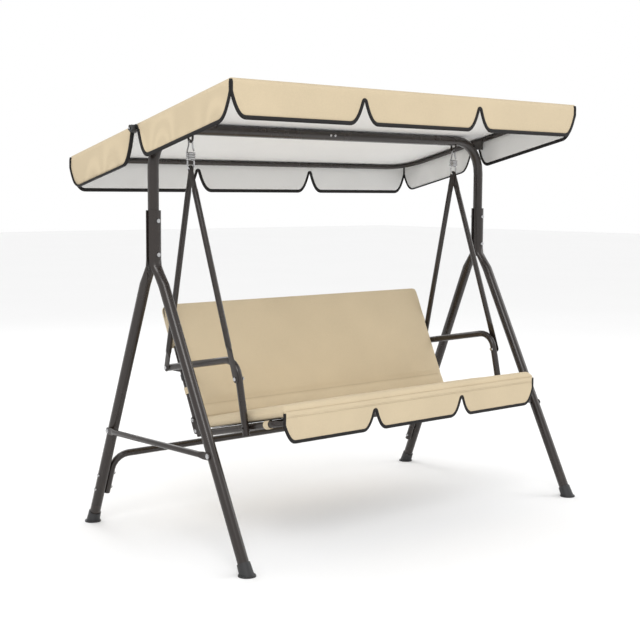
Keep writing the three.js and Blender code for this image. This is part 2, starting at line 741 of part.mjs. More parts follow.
// Places a piece drawn in (across, along the back, forward) at the backrest.
function onBack(geometry) {
  const basis = new THREE.Matrix4().makeBasis(
    at(1, 0, 0), at(0, Math.sin(backLean), Math.cos(backLean)), at(0, -Math.cos(backLean), Math.sin(backLean)));
  basis.setPosition(0, seatRear.y, seatRear.z);
  return geometry.clone().applyMatrix4(basis);
}

// Places a piece drawn in (across, above the seat tubes, forward) at the seat.
function onSeat(geometry) {
  const basis = new THREE.Matrix4().makeBasis(
    at(1, 0, 0), at(0, Math.sin(seatAngle), Math.cos(seatAngle)), at(0, -Math.cos(seatAngle), Math.sin(seatAngle)));
  basis.setPosition(0, seatRear.y, seatRear.z);
  return geometry.clone().applyMatrix4(basis);
}

// Extrudes an outline drawn in (y, z) along X, from one x to another.
function extrudeX(shape, fromX, toX, curveSegments = 6) {
  const geometry = new THREE.ExtrudeGeometry(shape, { depth: toX - fromX, bevelEnabled: false, curveSegments });
  geometry.applyMatrix4(new THREE.Matrix4().makeBasis(at(0, 1, 0), at(0, 0, 1), at(1, 0, 0)));
  geometry.translate(fromX, 0, 0);
  return geometry;
}

const drillAcross = (x, { y, z }, radius) => rod(at(x - 25, y, z), at(x + 25, y, z), radius);

// A hanger bar from the lower hook to the armrest. The front and rear bars lie side by side on the hook.
function hanger(sign, foot, outside, flatAtFoot) {
  const topShift = outside * (flatPlate + gap) / 2;
  return pressedTube({
    from: at(sign * hangX, 0, rockHeight), to: at(sign * hangX, foot.y, foot.z), radius: 10.5,
    flatThickness: flatPlate, flatLengths: [54, flatAtFoot], holeRadius: boltHole,
    offsets: [sign * topShift, sign * (hangerFootX - hangX)],
  });
}

function armrest(sign) {
  const rearStub = 14;
  const rise = (armrestCorner.z - hangerRear.z) / (hangerRear.y - armrestCorner.y);
  const x = sign * armrestX;
  const corners = [
    at(x, hangerRear.y + rearStub, hangerRear.z - rise * rearStub),
    at(x, armrestCorner.y, armrestCorner.z),
    at(x, postFoot.y, postFoot.z),
  ];
  const bolts = [hangerRear, hangerFront, { y: postY(postJointZ), z: postJointZ }];
  return cut(tube(corners, benchTubeRadius, 60, { sides: 12, arcSteps: 6 }), ...bolts.map((point) => drillAcross(x, point, boltHole)));
}

const seatTubeRear = -24;
const linkFront = { y: -52, z: seatHeight(-52) };
const linkBack = [12, 52].map(pointOnBack);

function seatFrame() {
  const corners = [
    at(-seatX, seatTubeRear, seatHeight(seatTubeRear)), at(-seatX, seatFront.y, seatFront.z),
    at(seatX, seatFront.y, seatFront.z), at(seatX, seatTubeRear, seatHeight(seatTubeRear)),
  ];
  const postJoint = { y: postY(postJointZ), z: postJointZ };
  const holes = [-seatX, seatX].map((x) => drillAcross(x, postJoint, boltHole));
  return cut(tube(corners, benchTubeRadius, 50), ...holes);
}

function seatRearRail() {
  const y = -84;
  const railRadius = 10;
  const half = seatX - benchTubeRadius - gap;
  return tube([at(-half, y, seatHeight(y)), at(half, y, seatHeight(y))], railRadius, 0);
}

function backRoute(stretch) {
  const low = pointOnBack(-8 - stretch);
  const top = pointOnBack(backLength);
  return [at(-seatX, low.y, low.z), at(-seatX, top.y, top.z), at(seatX, top.y, top.z), at(seatX, low.y, low.z)];
}

const backCornerRadius = 70;

// The backrest tube, with a welded lug behind each side for the armrest and hanger bolt.
function backFrame() {
  const lugThickness = 4;
  const lugHalf = 13;
  const tubeY = seatRear.y + (hangerRear.z - seatRear.z) * Math.tan(backLean);
  const lug = new THREE.Shape();
  lug.moveTo(tubeY, hangerRear.z - lugHalf);
  lug.lineTo(hangerRear.y, hangerRear.z - lugHalf);
  lug.absarc(hangerRear.y, hangerRear.z, lugHalf, -Math.PI / 2, Math.PI / 2);
  lug.lineTo(tubeY, hangerRear.z + lugHalf);
  const lugX = seatX + benchTubeRadius - gap;
  const right = extrudeX(lug, lugX - lugThickness, lugX);
  const holes = [-seatX, seatX].map((x) => drillAcross(x, hangerRear, boltHole));
  return cut(join(tube(backRoute(0), benchTubeRadius, backCornerRadius), right, mirrored(right)), ...holes);
}

// The plate that joins a seat tube to the backrest tube.
function seatLink(sign) {
  const thickness = 4;
  const margin = 11;
  const [low, high] = linkBack;
  const outline = new THREE.Shape();
  outline.absarc(high.y, high.z, margin, -backLean * 0.5, Math.PI * 0.8);
  outline.absarc(linkFront.y, linkFront.z, margin, Math.PI * 0.8, Math.PI * 1.4);
  outline.absarc(low.y, low.z, margin, Math.PI * 1.4, 2 * Math.PI - backLean * 0.5);
  const inner = seatX + benchTubeRadius + gap;
  const plate = extrudeX(outline, inner, inner + thickness, 4);
  return sign > 0 ? plate : mirrored(plate);
}

function hangerBolt(sign, point, grip) {
  const head = at(sign * (hangerFootX + flatPlate / 2 + gap), point.y, point.z);
  return bolt({ head, direction: at(-sign, 0, 0), grip, shankRadius: 3.5, headRadius: 7, headHeight: 4.5 });
}

const slingThickness = 2.5;
const slingBottom = benchTubeRadius + 0.4;

function seatSling() {
  const reachFront = 455;
  const reachRear = 78;
  const sling = new THREE.BoxGeometry(2 * seatX + 8, slingThickness, reachFront - reachRear);
  sling.translate(0, slingBottom + slingThickness / 2, (reachFront + reachRear) / 2);
  return onSeat(sling);
}

const seatCoverX = 634;
const seatCoverThickness = 42;
const seatCoverFront = 482;
const seatValanceDepth = 102;

// The padded seat cover: a fitted cap over the seat with a rolled front edge and a plumb valance of three panels.
function seatCover() {
  const bottom = slingBottom + slingThickness + 0.4;
  const top = bottom + seatCoverThickness;
  const roll = 16;
  const rear = 24;
  const profile = new THREE.Shape();
  profile.moveTo(bottom, rear);
  profile.lineTo(bottom, seatCoverFront);
  profile.lineTo(top - roll, seatCoverFront);
  profile.absarc(top - roll, seatCoverFront - roll, roll, Math.PI / 2, 0, true);
  profile.lineTo(top + 8, rear + 10);
  profile.lineTo(top, rear);
  const cushion = new THREE.ExtrudeGeometry(profile, { depth: 2 * seatCoverX, bevelEnabled: false, curveSegments: 5 });
  cushion.applyMatrix4(new THREE.Matrix4().makeBasis(at(0, 1, 0), at(0, 0, 1), at(1, 0, 0)));
  cushion.translate(-seatCoverX, 0, 0);
  const frontY = seatRear.y - seatCoverFront * Math.cos(seatAngle) + bottom * Math.sin(seatAngle);
  const topZ = seatRear.z + seatCoverFront * Math.sin(seatAngle) + (bottom + 20) * Math.cos(seatAngle);
  const hang = { depth: seatValanceDepth, notchTop: 36, notchRadius: 8, flare: 34, endRise: 58, endRun: 48 };
  const notchX = seatCoverX * 0.35;
  const valance = sheetAcross(valanceShape({ length: 2 * seatCoverX, notches: [-notchX, notchX], ...hang }), 4);
  valance.rotateX(Math.PI / 2);
  valance.translate(0, frontY + 4, topZ);
  const skin = 9;
  const hollow = new THREE.BoxGeometry(2 * (seatCoverX - skin), top - bottom, seatCoverFront - rear - 3 * skin);
  hollow.translate(0, (top + bottom) / 2 - skin, (seatCoverFront + rear) / 2);
  return join(cut(onSeat(cushion), onSeat(hollow)), valance);
}

const backCoverX = seatX + benchTubeRadius + 5.5;

// The backrest cover: a pocket that slips over the top of the frame, with its front panel running down to the seat.
function backCover() {
  const frontFace = 27;
  const rearFace = -18;
  const panelBack = 14;
  const hoodStart = 325;
  const panelStart = 49;
  const top = backLength + benchTubeRadius + 5;
  const soft = 12;
  const profile = new THREE.Shape();
  profile.moveTo(panelStart, panelBack);
  profile.lineTo(hoodStart, panelBack);
  profile.lineTo(hoodStart, rearFace);
  profile.lineTo(top - soft, rearFace);
  profile.absarc(top - soft, rearFace + soft, soft, -Math.PI / 2, 0);
  profile.absarc(top - soft, frontFace - soft, soft, 0, Math.PI / 2);
  profile.lineTo(panelStart, frontFace);
  const slab = extrudeX(profile, -backCoverX, backCoverX, 4);
  const corner = 22;
  const outline = new THREE.Shape();
  const panelX = seatX + benchTubeRadius - 1;
  outline.moveTo(-panelX, 0);
  outline.lineTo(panelX, 0);
  outline.lineTo(panelX, hoodStart);
  outline.lineTo(backCoverX, hoodStart);
  outline.absarc(backCoverX - corner, top - corner, corner, 0, Math.PI / 2);
  outline.absarc(-backCoverX + corner, top - corner, corner, Math.PI / 2, Math.PI);
  outline.lineTo(-backCoverX, hoodStart);
  outline.lineTo(-panelX, hoodStart);
  const face = new THREE.ExtrudeGeometry(outline, { depth: 200, bevelEnabled: false, curveSegments: 6 });
  face.translate(0, 0, -100);
  const rounded = toGeometry(toSolid(slab).intersect(toSolid(face)));
  const channel = along(new BentRoute(backRoute(20), backCornerRadius), benchTubeRadius + 1, 0, 12);
  return cut(onBack(rounded), channel);
}

// ---- assembly ----------------------------------------------------------------------------------------------

const swing = new THREE.Group();
swing.position.y = centreShift;

function add(name, geometry, finish) {
  const mesh = new THREE.Mesh(geometry, new THREE.MeshStandardMaterial(finish));
  mesh.name = name;
  swing.add(mesh);
}

const sides = [['left', -1], ['right', 1]];

for (const [side, sign] of sides) {
  add(`leg_front_${side}`, leg(sign * legX, -1), steelPaint);
  add(`leg_rear_${side}`, leg(sign * legX, 1), steelPaint);
  add(`foot_cap_front_${side}`, footCap(sign * legX, -1), blackPlastic);
  add(`foot_cap_rear_${side}`, footCap(sign * legX, 1), blackPlastic);
  add(`leg_bolt_upper_${side}`, legBolt(sign * legX, legBoltHeights[0]), chrome);
  add(`leg_bolt_lower_${side}`, legBolt(sign * legX, legBoltHeights[1]), chrome);
  add(`side_brace_${side}`, brace(sign), steelPaint);
  add(`stretcher_bolt_upper_${side}`, stretcherBolt(sign, stretcherBoltHeights[0]), chrome);
  add(`stretcher_bolt_lower_${side}`, stretcherBolt(sign, stretcherBoltHeights[1]), chrome);
}
add('rear_stretcher', stretcher(), steelPaint);
add('top_bar_left', leftBar(), steelPaint);
add('top_bar_right', rightBar(), steelPaint);
jointScrewX.forEach((x, i) => add(`top_bar_screw_${i + 1}`, jointScrew(x), chrome));

const handed = (sign, geometry) => (sign > 0 ? geometry : mirrored(geometry));

for (const [side, sign] of sides) {
  add(`tilt_bracket_${side}`, handed(sign, tiltBracket()), steelPaint);
  add(`tilt_bolt_${side}`, handed(sign, pivotBolt()), chrome);
  add(`tilt_knob_${side}`, handed(sign, tiltKnob()), blackPlastic);
  add(`canopy_rail_${side}`, handed(sign, sideRail()), steelPaint);
}
add('canopy_tube_front_left', mirrored(canopyTubeHalf(canopyTubeFront)), steelPaint);
add('canopy_tube_front_right', canopyTubeJoined(canopyTubeFront), steelPaint);
add('canopy_tube_rear_left', mirrored(canopyTubeHalf(canopyTubeRear)), steelPaint);
add('canopy_tube_rear_right', canopyTubeJoined(canopyTubeRear), steelPaint);
add('canopy_cover', canopyCover(), beigeFabric);

for (const [side, sign] of sides) {
  add(`spring_upper_hook_${side}`, upperHook(sign * hangX), chrome);
  add(`spring_coil_${side}`, springCoil(sign * hangX), chrome);
  add(`spring_lower_hook_${side}`, lowerHook(sign * hangX), chrome);
  add(`hanger_front_${side}`, hanger(sign, hangerFront, 1, 92), steelPaint);
  add(`hanger_rear_${side}`, hanger(sign, hangerRear, -1, 40), steelPaint);
  add(`hanger_bolt_front_${side}`, hangerBolt(sign, hangerFront, flatPlate + 2 * benchTubeRadius + 3 * gap), chrome);
  add(`hanger_bolt_rear_${side}`, hangerBolt(sign, hangerRear, flatPlate + 2 * benchTubeRadius + 4 + 5 * gap), chrome);
  add(`armrest_${side}`, armrest(sign), steelPaint);
  add(`seat_link_${side}`, seatLink(sign), steelPaint);
}
add('seat_frame', seatFrame(), steelPaint);
add('seat_rear_rail', seatRearRail(), steelPaint);
add('back_frame', backFrame(), steelPaint);
add('seat_sling', seatSling(), slingMesh);
add('seat_cover', seatCover(), beigeFabric);
add('back_cover', backCover(), beigeFabric);

export default swing;
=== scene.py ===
# Looks of a garden swing bench with a fabric canopy, laid out as an add-on and run as a script.
import json
import math

import bmesh
import bpy
from bpy.props import FloatProperty, FloatVectorProperty, PointerProperty
from mathutils import Matrix, Vector, noise


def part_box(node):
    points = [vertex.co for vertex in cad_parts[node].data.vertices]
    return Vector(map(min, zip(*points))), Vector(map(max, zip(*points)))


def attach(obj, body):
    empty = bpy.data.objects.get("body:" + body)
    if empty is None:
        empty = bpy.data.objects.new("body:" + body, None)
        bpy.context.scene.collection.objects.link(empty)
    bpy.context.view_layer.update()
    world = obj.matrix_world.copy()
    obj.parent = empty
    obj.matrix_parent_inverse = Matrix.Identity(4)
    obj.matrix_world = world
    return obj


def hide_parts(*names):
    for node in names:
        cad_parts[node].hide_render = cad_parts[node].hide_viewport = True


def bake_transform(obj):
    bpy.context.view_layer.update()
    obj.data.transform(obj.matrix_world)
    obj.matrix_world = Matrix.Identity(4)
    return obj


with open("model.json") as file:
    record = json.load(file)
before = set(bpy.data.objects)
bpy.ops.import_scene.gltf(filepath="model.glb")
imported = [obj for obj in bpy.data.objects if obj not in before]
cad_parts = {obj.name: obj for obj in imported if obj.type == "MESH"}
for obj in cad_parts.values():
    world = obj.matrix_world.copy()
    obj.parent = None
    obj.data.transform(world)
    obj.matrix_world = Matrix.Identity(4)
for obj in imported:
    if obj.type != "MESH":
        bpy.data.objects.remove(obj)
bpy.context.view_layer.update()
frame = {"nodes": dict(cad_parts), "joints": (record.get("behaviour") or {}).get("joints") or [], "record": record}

bl_info = {
    "name": "Canopy Swing Bench",
    "version": (1, 0, 0),
    "blender": (4, 5, 0),
    "location": "View3D > Sidebar > Swing Bench",
    "description": "Covers, trim and finishes for a canopy swing bench frame",
    "category": "Object",
}

JOINTS = {joint["name"]: joint for joint in frame["joints"]}
BAR_Y = JOINTS["swing"]["pos_m"][1]
NODE_SLOT = {row["node"]: row["material_slot"] for row in frame["record"]["subparts"]}
BODY_NODES = frame["record"]["behaviour"]["bodies"]
NODE_BODY = {node: body for body, nodes in BODY_NODES.items() for node in nodes}
SIDES = (("left", -1), ("right", 1))
BOXES = {node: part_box(node) for node in NODE_SLOT}


# ---- settings ------------------------------------------------------------------------------------

class SwingBenchCanopySettings(bpy.types.PropertyGroup):
    """Sizes of the roof cover."""
    fabric: FloatProperty(
        name="Fabric", description="Thickness of the roof fabric",
        default=0.0014, min=0.0005, max=0.003, unit="LENGTH")
    roof_sag: FloatProperty(
        name="Roof sag", description="How far the roof hangs between its tubes",
        default=0.007, min=0.0, max=0.02, unit="LENGTH")
    piping: FloatProperty(
        name="Piping", description="Width of the tape that binds the edge",
        default=0.014, min=0.004, max=0.018, unit="LENGTH")


class SwingBenchSeatSettings(bpy.types.PropertyGroup):
    """Sizes of the seat and backrest covers."""
    crown: FloatProperty(
        name="Crown", description="Rise of the padding in the middle of the seat",
        default=0.006, min=0.0, max=0.02, unit="LENGTH")
    wrinkle: FloatProperty(
        name="Wrinkle", description="Depth of the soft wrinkles",
        default=0.0016, min=0.0, max=0.006, unit="LENGTH")
    strap_width: FloatProperty(
        name="Strap width", description="Width of the tie straps",
        default=0.024, min=0.01, max=0.04, unit="LENGTH")


class SwingBenchColourSettings(bpy.types.PropertyGroup):
    """Colours of the finishes."""
    paint: FloatVectorProperty(
        name="Paint", description="Powder coat of the tubes",
        default=(0.024, 0.017, 0.014, 1.0), min=0.0, max=1.0, subtype="COLOR", size=4)
    cover: FloatVectorProperty(
        name="Cover", description="Outside of the covers",
        default=(0.665, 0.55, 0.375, 1.0), min=0.0, max=1.0, subtype="COLOR", size=4)
    lining: FloatVectorProperty(
        name="Lining", description="Coated inside of the roof cover",
        default=(0.84, 0.84, 0.83, 1.0), min=0.0, max=1.0, subtype="COLOR", size=4)
    binding: FloatVectorProperty(
        name="Binding", description="Bound edges of the covers",
        default=(0.012, 0.011, 0.011, 1.0), min=0.0, max=1.0, subtype="COLOR", size=4)


def colours():
    return bpy.context.scene.swing_bench_colours


# ---- shader groups -------------------------------------------------------------------------------

def new_group(name, inputs, outputs):
    """An empty node group with named sockets, and its input and output nodes."""
    tree = bpy.data.node_groups.new(name, "ShaderNodeTree")
    for label, kind, default in inputs:
        socket = tree.interface.new_socket(label, in_out="INPUT", socket_type=kind)
        if default is not None:
            socket.default_value = default
    for label, kind in outputs:
        tree.interface.new_socket(label, in_out="OUTPUT", socket_type=kind)
    start = tree.nodes.new("NodeGroupInput")
    end = tree.nodes.new("NodeGroupOutput")
    return tree, start, end


def node(tree, kind, links=None, **values):
    """Adds a shader node, sets its values and links sockets by name or index."""
    made = tree.nodes.new(kind)
    for key, value in values.items():
        if hasattr(made, key):
            setattr(made, key, value)
        else:
            made.inputs[key.replace("_", " ")].default_value = value
    for key, source in (links or {}).items():
        tree.links.new(source, made.inputs[key])
    return made


def mixed(tree, factor, first, second):
    """A colour mix; each of the three may be a socket or a plain value."""
    mix = tree.nodes.new("ShaderNodeMix")
    mix.data_type = "RGBA"
    for index, value in ((0, factor), (6, first), (7, second)):
        if isinstance(value, bpy.types.NodeSocket):
            tree.links.new(value, mix.inputs[index])
        else:
            mix.inputs[index].default_value = value
    return mix.outputs[2]


def ranged(tree, source, low, high):
    made = node(tree, "ShaderNodeMapRange", {"Value": source})
    made.inputs["To Min"].default_value = low
    made.inputs["To Max"].default_value = high
    return made.outputs["Result"]


def added(tree, operation, first, second):
    made = tree.nodes.new("ShaderNodeMath")
    made.operation = operation
    for index, value in enumerate((first, second)):
        if isinstance(value, bpy.types.NodeSocket):
            tree.links.new(value, made.inputs[index])
        else:
            made.inputs[index].default_value = value
    return made.outputs[0]


def mottle_group():
    """Slow colour change with a fine grain on top: cloth that has faded, paint that has weathered."""
    tree, start, end = new_group(
        "Mottle",
        [("Colour", "NodeSocketColor", (0.5, 0.5, 0.5, 1.0)),
         ("Shade", "NodeSocketColor", (0.4, 0.4, 0.4, 1.0)),
         ("Patch Scale", "NodeSocketFloat", 6.0),
         ("Grain Scale", "NodeSocketFloat", 600.0),
         ("Rough Low", "NodeSocketFloat", 0.4),
         ("Rough High", "NodeSocketFloat", 0.6)],
        [("Colour", "NodeSocketColor"),
         ("Roughness", "NodeSocketFloat"),
         ("Grain", "NodeSocketFloat")])
    place = node(tree, "ShaderNodeTexCoord").outputs["Object"]
    patch = node(tree, "ShaderNodeTexNoise",
                 {"Vector": place, "Scale": start.outputs["Patch Scale"]}, Detail=4.0)
    grain = node(tree, "ShaderNodeTexNoise",
                 {"Vector": place, "Scale": start.outputs["Grain Scale"]}, Detail=2.0)
    amount = added(tree, "MULTIPLY", patch.outputs["Fac"], grain.outputs["Fac"])
    spread = ranged(tree, amount, 0.0, 2.2)
    colour = mixed(tree, spread, start.outputs["Colour"], start.outputs["Shade"])
    rough = node(tree, "ShaderNodeMapRange", {"Value": patch.outputs["Fac"],
                                              "To Min": start.outputs["Rough Low"],
                                              "To Max": start.outputs["Rough High"]})
    tree.links.new(colour, end.inputs["Colour"])
    tree.links.new(rough.outputs["Result"], end.inputs["Roughness"])
    tree.links.new(grain.outputs["Fac"], end.inputs["Grain"])
    return tree


def weave_group():
    """Crossed threads as a height between 0 and 1."""
    tree, start, end = new_group(
        "Weave",
        [("Threads", "NodeSocketFloat", 900.0), ("Slub", "NodeSocketFloat", 0.25)],
        [("Height", "NodeSocketFloat"), ("Thread Mask", "NodeSocketFloat")])
    place = node(tree, "ShaderNodeTexCoord").outputs["Object"]
    bands = []
    for direction in ("X", "Z"):
        wave = node(tree, "ShaderNodeTexWave", {"Vector": place, "Scale": start.outputs["Threads"]},
                    bands_direction=direction, Distortion=0.6, Detail=1.0)
        bands.append(wave.outputs["Fac"])
    crossing = added(tree, "MAXIMUM", bands[0], bands[1])
    slub = node(tree, "ShaderNodeTexNoise", {"Vector": place}, Scale=160.0, Detail=3.0)
    uneven = added(tree, "MULTIPLY", slub.outputs["Fac"], start.outputs["Slub"])
    height = added(tree, "ADD", crossing, uneven)
    tree.links.new(height, end.inputs["Height"])
    tree.links.new(crossing, end.inputs["Thread Mask"])
    return tree


def wear_group():
    """Small worn spots, brightest where two noises agree."""
    tree, start, end = new_group(
        "Wear",
        [("Spot Scale", "NodeSocketFloat", 40.0), ("Amount", "NodeSocketFloat", 0.3)],
        [("Mask", "NodeSocketFloat")])
    place = node(tree, "ShaderNodeTexCoord").outputs["Object"]
    broad = node(tree, "ShaderNodeTexNoise", {"Vector": place}, Scale=3.0, Detail=2.0)
    spots = node(tree, "ShaderNodeTexNoise",
                 {"Vector": place, "Scale": start.outputs["Spot Scale"]}, Detail=6.0)
    both = added(tree, "MULTIPLY", broad.outputs["Fac"], spots.outputs["Fac"])
    cut = node(tree, "ShaderNodeMapRange", {"Value": both})
    cut.inputs["From Min"].default_value = 0.30
    cut.inputs["From Max"].default_value = 0.50
    mask = added(tree, "MULTIPLY", cut.outputs["Result"], start.outputs["Amount"])
    tree.links.new(mask, end.inputs["Mask"])
    return tree


def group(name, maker):
    return bpy.data.node_groups.get(name) or maker()


def placed(tree, shared, **values):
    made = tree.nodes.new("ShaderNodeGroup")
    made.node_tree = shared
    for key, value in values.items():
        made.inputs[key.replace("_", " ")].default_value = value
    return made


def shade_of(colour, share):
    return (colour[0] * share, colour[1] * share, colour[2] * share, 1.0)


def new_material(name):
    material = bpy.data.materials.new(name)
    material.use_nodes = True
    shader = material.node_tree.nodes["Principled BSDF"]
    return material, material.node_tree, shader


def bumped(tree, shader, height, strength, distance):
    bump = node(tree, "ShaderNodeBump", {"Height": height}, Strength=strength, Distance=distance)
    tree.links.new(bump.outputs["Normal"], shader.inputs["Normal"])


def powder_coat():
    material, tree, shader = new_material("powder_coat")
    paint = colours().paint
    mottle = placed(tree, group("Mottle", mottle_group), Colour=paint, Shade=shade_of(paint, 0.7),
                    Patch_Scale=9.0, Grain_Scale=900.0, Rough_Low=0.22, Rough_High=0.34)
    wear = placed(tree, group("Wear", wear_group), Spot_Scale=55.0, Amount=0.25)
    worn = (0.075, 0.062, 0.054, 1.0)
    colour = mixed(tree, wear.outputs["Mask"], mottle.outputs["Colour"], worn)
    tree.links.new(colour, shader.inputs["Base Color"])
    tree.links.new(mottle.outputs["Roughness"], shader.inputs["Roughness"])
    shader.inputs["Metallic"].default_value = 0.15
    shader.inputs["Coat Weight"].default_value = 0.2
    shader.inputs["Coat Roughness"].default_value = 0.16
    bumped(tree, shader, mottle.outputs["Grain"], 0.10, 0.0004)
    return material


def bright_plating():
    material, tree, shader = new_material("bright_plating")
    plate = (0.62, 0.62, 0.63, 1.0)
    mottle = placed(tree, group("Mottle", mottle_group), Colour=plate, Shade=shade_of(plate, 0.62),
                    Patch_Scale=70.0, Grain_Scale=1400.0, Rough_Low=0.14, Rough_High=0.30)
    tree.links.new(mottle.outputs["Colour"], shader.inputs["Base Color"])
    tree.links.new(mottle.outputs["Roughness"], shader.inputs["Roughness"])
    shader.inputs["Metallic"].default_value = 1.0
    bumped(tree, shader, mottle.outputs["Grain"], 0.08, 0.0002)
    return material


def moulded_plastic():
    material, tree, shader = new_material("moulded_plastic")
    plastic = (0.014, 0.014, 0.015, 1.0)
    mottle = placed(tree, group("Mottle", mottle_group), Colour=plastic, Shade=shade_of(plastic, 1.8),
                    Patch_Scale=40.0, Grain_Scale=1600.0, Rough_Low=0.42, Rough_High=0.58)
    tree.links.new(mottle.outputs["Colour"], shader.inputs["Base Color"])
    tree.links.new(mottle.outputs["Roughness"], shader.inputs["Roughness"])
    bumped(tree, shader, mottle.outputs["Grain"], 0.25, 0.0003)
    return material


def cloth(name, colour, shade=0.86, threads=620.0, rough=(0.82, 0.94), sheen=0.08, bump=0.35):
    """Plain woven cloth in one colour, with threads, slubs and slight fading, and painted shade in the gaps
    between threads.
    """
    material, tree, shader = new_material(name)
    mottle = placed(tree, group("Mottle", mottle_group), Colour=colour, Shade=shade_of(colour, shade),
                    Patch_Scale=5.0, Grain_Scale=380.0, Rough_Low=rough[0], Rough_High=rough[1])
    weave = placed(tree, group("Weave", weave_group), Threads=threads, Slub=0.35)
    # painted shade: a darker tone of the colour, up to 22 percent, where the crossed threads leave gaps
    between = ranged(tree, weave.outputs["Thread Mask"], 0.22, 0.0)
    gap_shaded_colour = mixed(tree, between, mottle.outputs["Colour"], shade_of(colour, 0.62))
    tree.links.new(gap_shaded_colour, shader.inputs["Base Color"])
    tree.links.new(mottle.outputs["Roughness"], shader.inputs["Roughness"])
    shader.inputs["Sheen Weight"].default_value = sheen
    shader.inputs["Specular IOR Level"].default_value = 0.15
    bumped(tree, shader, weave.outputs["Height"], bump, 0.0005)
    return material


def material(name):
    """A finish by name, made the first time that it is asked for."""
    found = bpy.data.materials.get(name)
    if found:
        return found
    tones = colours()
    makers = {
        "powder_coat": powder_coat,
        "bright_plating": bright_plating,
        "moulded_plastic": moulded_plastic,
        "cover_cloth": lambda: cloth("cover_cloth", tones.cover),
        "roof_lining": lambda: cloth("roof_lining", tones.lining, shade=0.93, sheen=0.05, bump=0.2),
        "sling_mesh": lambda: cloth("sling_mesh", (0.035, 0.032, 0.030, 1.0), threads=420.0,
                                    sheen=0.0, bump=0.8),
        "edge_binding": lambda: cloth("edge_binding", tones.binding, shade=1.6, threads=1100.0,
                                      rough=(0.6, 0.75), sheen=0.05),
        "stitch_thread": lambda: cloth("stitch_thread", shade_of(tones.cover, 0.72), threads=2400.0),
    }
    return makers[name]()


FINISH_OF_SLOT = {
    "frame_paint": "powder_coat",
    "bright_steel": "bright_plating",
    "black_plastic": "moulded_plastic",
    "cover_fabric": "cover_cloth",
    "sling_fabric": "sling_mesh",
}


# ---- mesh helpers --------------------------------------------------------------------------------

def new_piece(name, points, faces, finish):
    """A smooth mesh object from points and faces, with its finish."""
    mesh = bpy.data.meshes.new(name)
    mesh.from_pydata([tuple(p) for p in points], [], faces)
    mesh.validate()
    mesh.update()
    piece = bpy.data.objects.new(name, mesh)
    bpy.context.scene.collection.objects.link(piece)
    mesh.materials.append(material(finish))
    mesh.polygons.foreach_set("use_smooth", [True] * len(mesh.polygons))
    return piece


def sharp_by_angle(mesh, degrees):
    """Smooth shading with hard edges where two faces meet at more than the angle."""
    work = bmesh.new()
    work.from_mesh(mesh)
    limit = math.radians(degrees)
    for edge in work.edges:
        faces = edge.link_faces
        edge.smooth = len(faces) == 2 and faces[0].normal.angle(faces[1].normal, 0.0) < limit
    for face in work.faces:
        face.smooth = True
    work.to_mesh(mesh)
    work.free()


def bake_modifiers(piece):
    """Applies every modifier of a piece."""
    graph = bpy.context.evaluated_depsgraph_get()
    made = bpy.data.meshes.new_from_object(piece.evaluated_get(graph))
    piece.modifiers.clear()
    piece.data = made


def outward(piece):
    """Turns every face of a closed piece outward."""
    work = bmesh.new()
    work.from_mesh(piece.data)
    bmesh.ops.recalc_face_normals(work, faces=work.faces)
    work.to_mesh(piece.data)
    work.free()


def smooth_path(points, spacing):
    """Points along a polyline, no further apart than spacing."""
    made = [Vector(points[0])]
    for here, there in zip(points, points[1:]):
        gap = Vector(there) - Vector(here)
        steps = max(1, math.ceil(gap.length / spacing))
        made.extend(Vector(here) + gap * (k / steps) for k in range(1, steps + 1))
    return made


def ring_faces(total, count):
    """Faces that join rings of count points one after another, with a cap at each end."""
    faces = []
    for ring in range(total - 1):
        here, there = ring * count, (ring + 1) * count
        for k in range(count):
            m = (k + 1) % count
            faces.append((here + k, here + m, there + m, there + k))
    faces.append(tuple(range(count))[::-1])
    faces.append(tuple((total - 1) * count + k for k in range(count)))
    return faces


def swept(path, outline, up):
    """Points and faces of an outline carried along a path. outline is a list of (side, up) offsets."""
    points = []
    count = len(outline)
    total = len(path)
    side = None
    for index, here in enumerate(path):
        before = path[index - 1] if index else here
        after = path[index + 1] if index + 1 < total else here
        ahead = (after - before).normalized()
        if side is None:
            side = ahead.cross(Vector(up)).normalized()
        side = (side - ahead * side.dot(ahead)).normalized()
        rise = side.cross(ahead).normalized()
        points.extend(here + side * a + rise * b for a, b in outline)
    return points, ring_faces(total, count)


def round_outline(radius, sides, squash=1.0):
    """Points of a circle, or of an oval where squash is under 1."""
    turns = [2 * math.pi * k / sides for k in range(sides)]
    return [(radius * math.cos(turn), squash * radius * math.sin(turn)) for turn in turns]


TAPE_SQUASH = 0.44


def tape_piece(name, paths, width, finish):
    """Binding tape folded over free edges. paths holds (points, level direction out of the cloth) pairs."""
    points = []
    faces = []
    for path, way in paths:
        more, rings = swept(smooth_path(path, 0.015), round_outline(width / 2, 10, TAPE_SQUASH), way)
        faces.extend(tuple(k + len(points) for k in face) for face in rings)
        points.extend(more)
    piece = new_piece(name, points, faces, finish)
    outward(piece)
    return piece


def cord_piece(name, paths, radius, finish, sides):
    """One piece of round cord along one or several paths."""
    points = []
    faces = []
    for path in paths:
        more, rings = swept(path, round_outline(radius, sides), (0, 0, 1))
        faces.extend(tuple(k + len(points) for k in face) for face in rings)
        points.extend(more)
    piece = new_piece(name, points, faces, finish)
    outward(piece)
    return piece


# ---- carried-over frame --------------------------------------------------------------------------

MADE_ANEW = ("canopy_cover", "seat_cover", "back_cover", "spring_coil_left", "spring_coil_right")


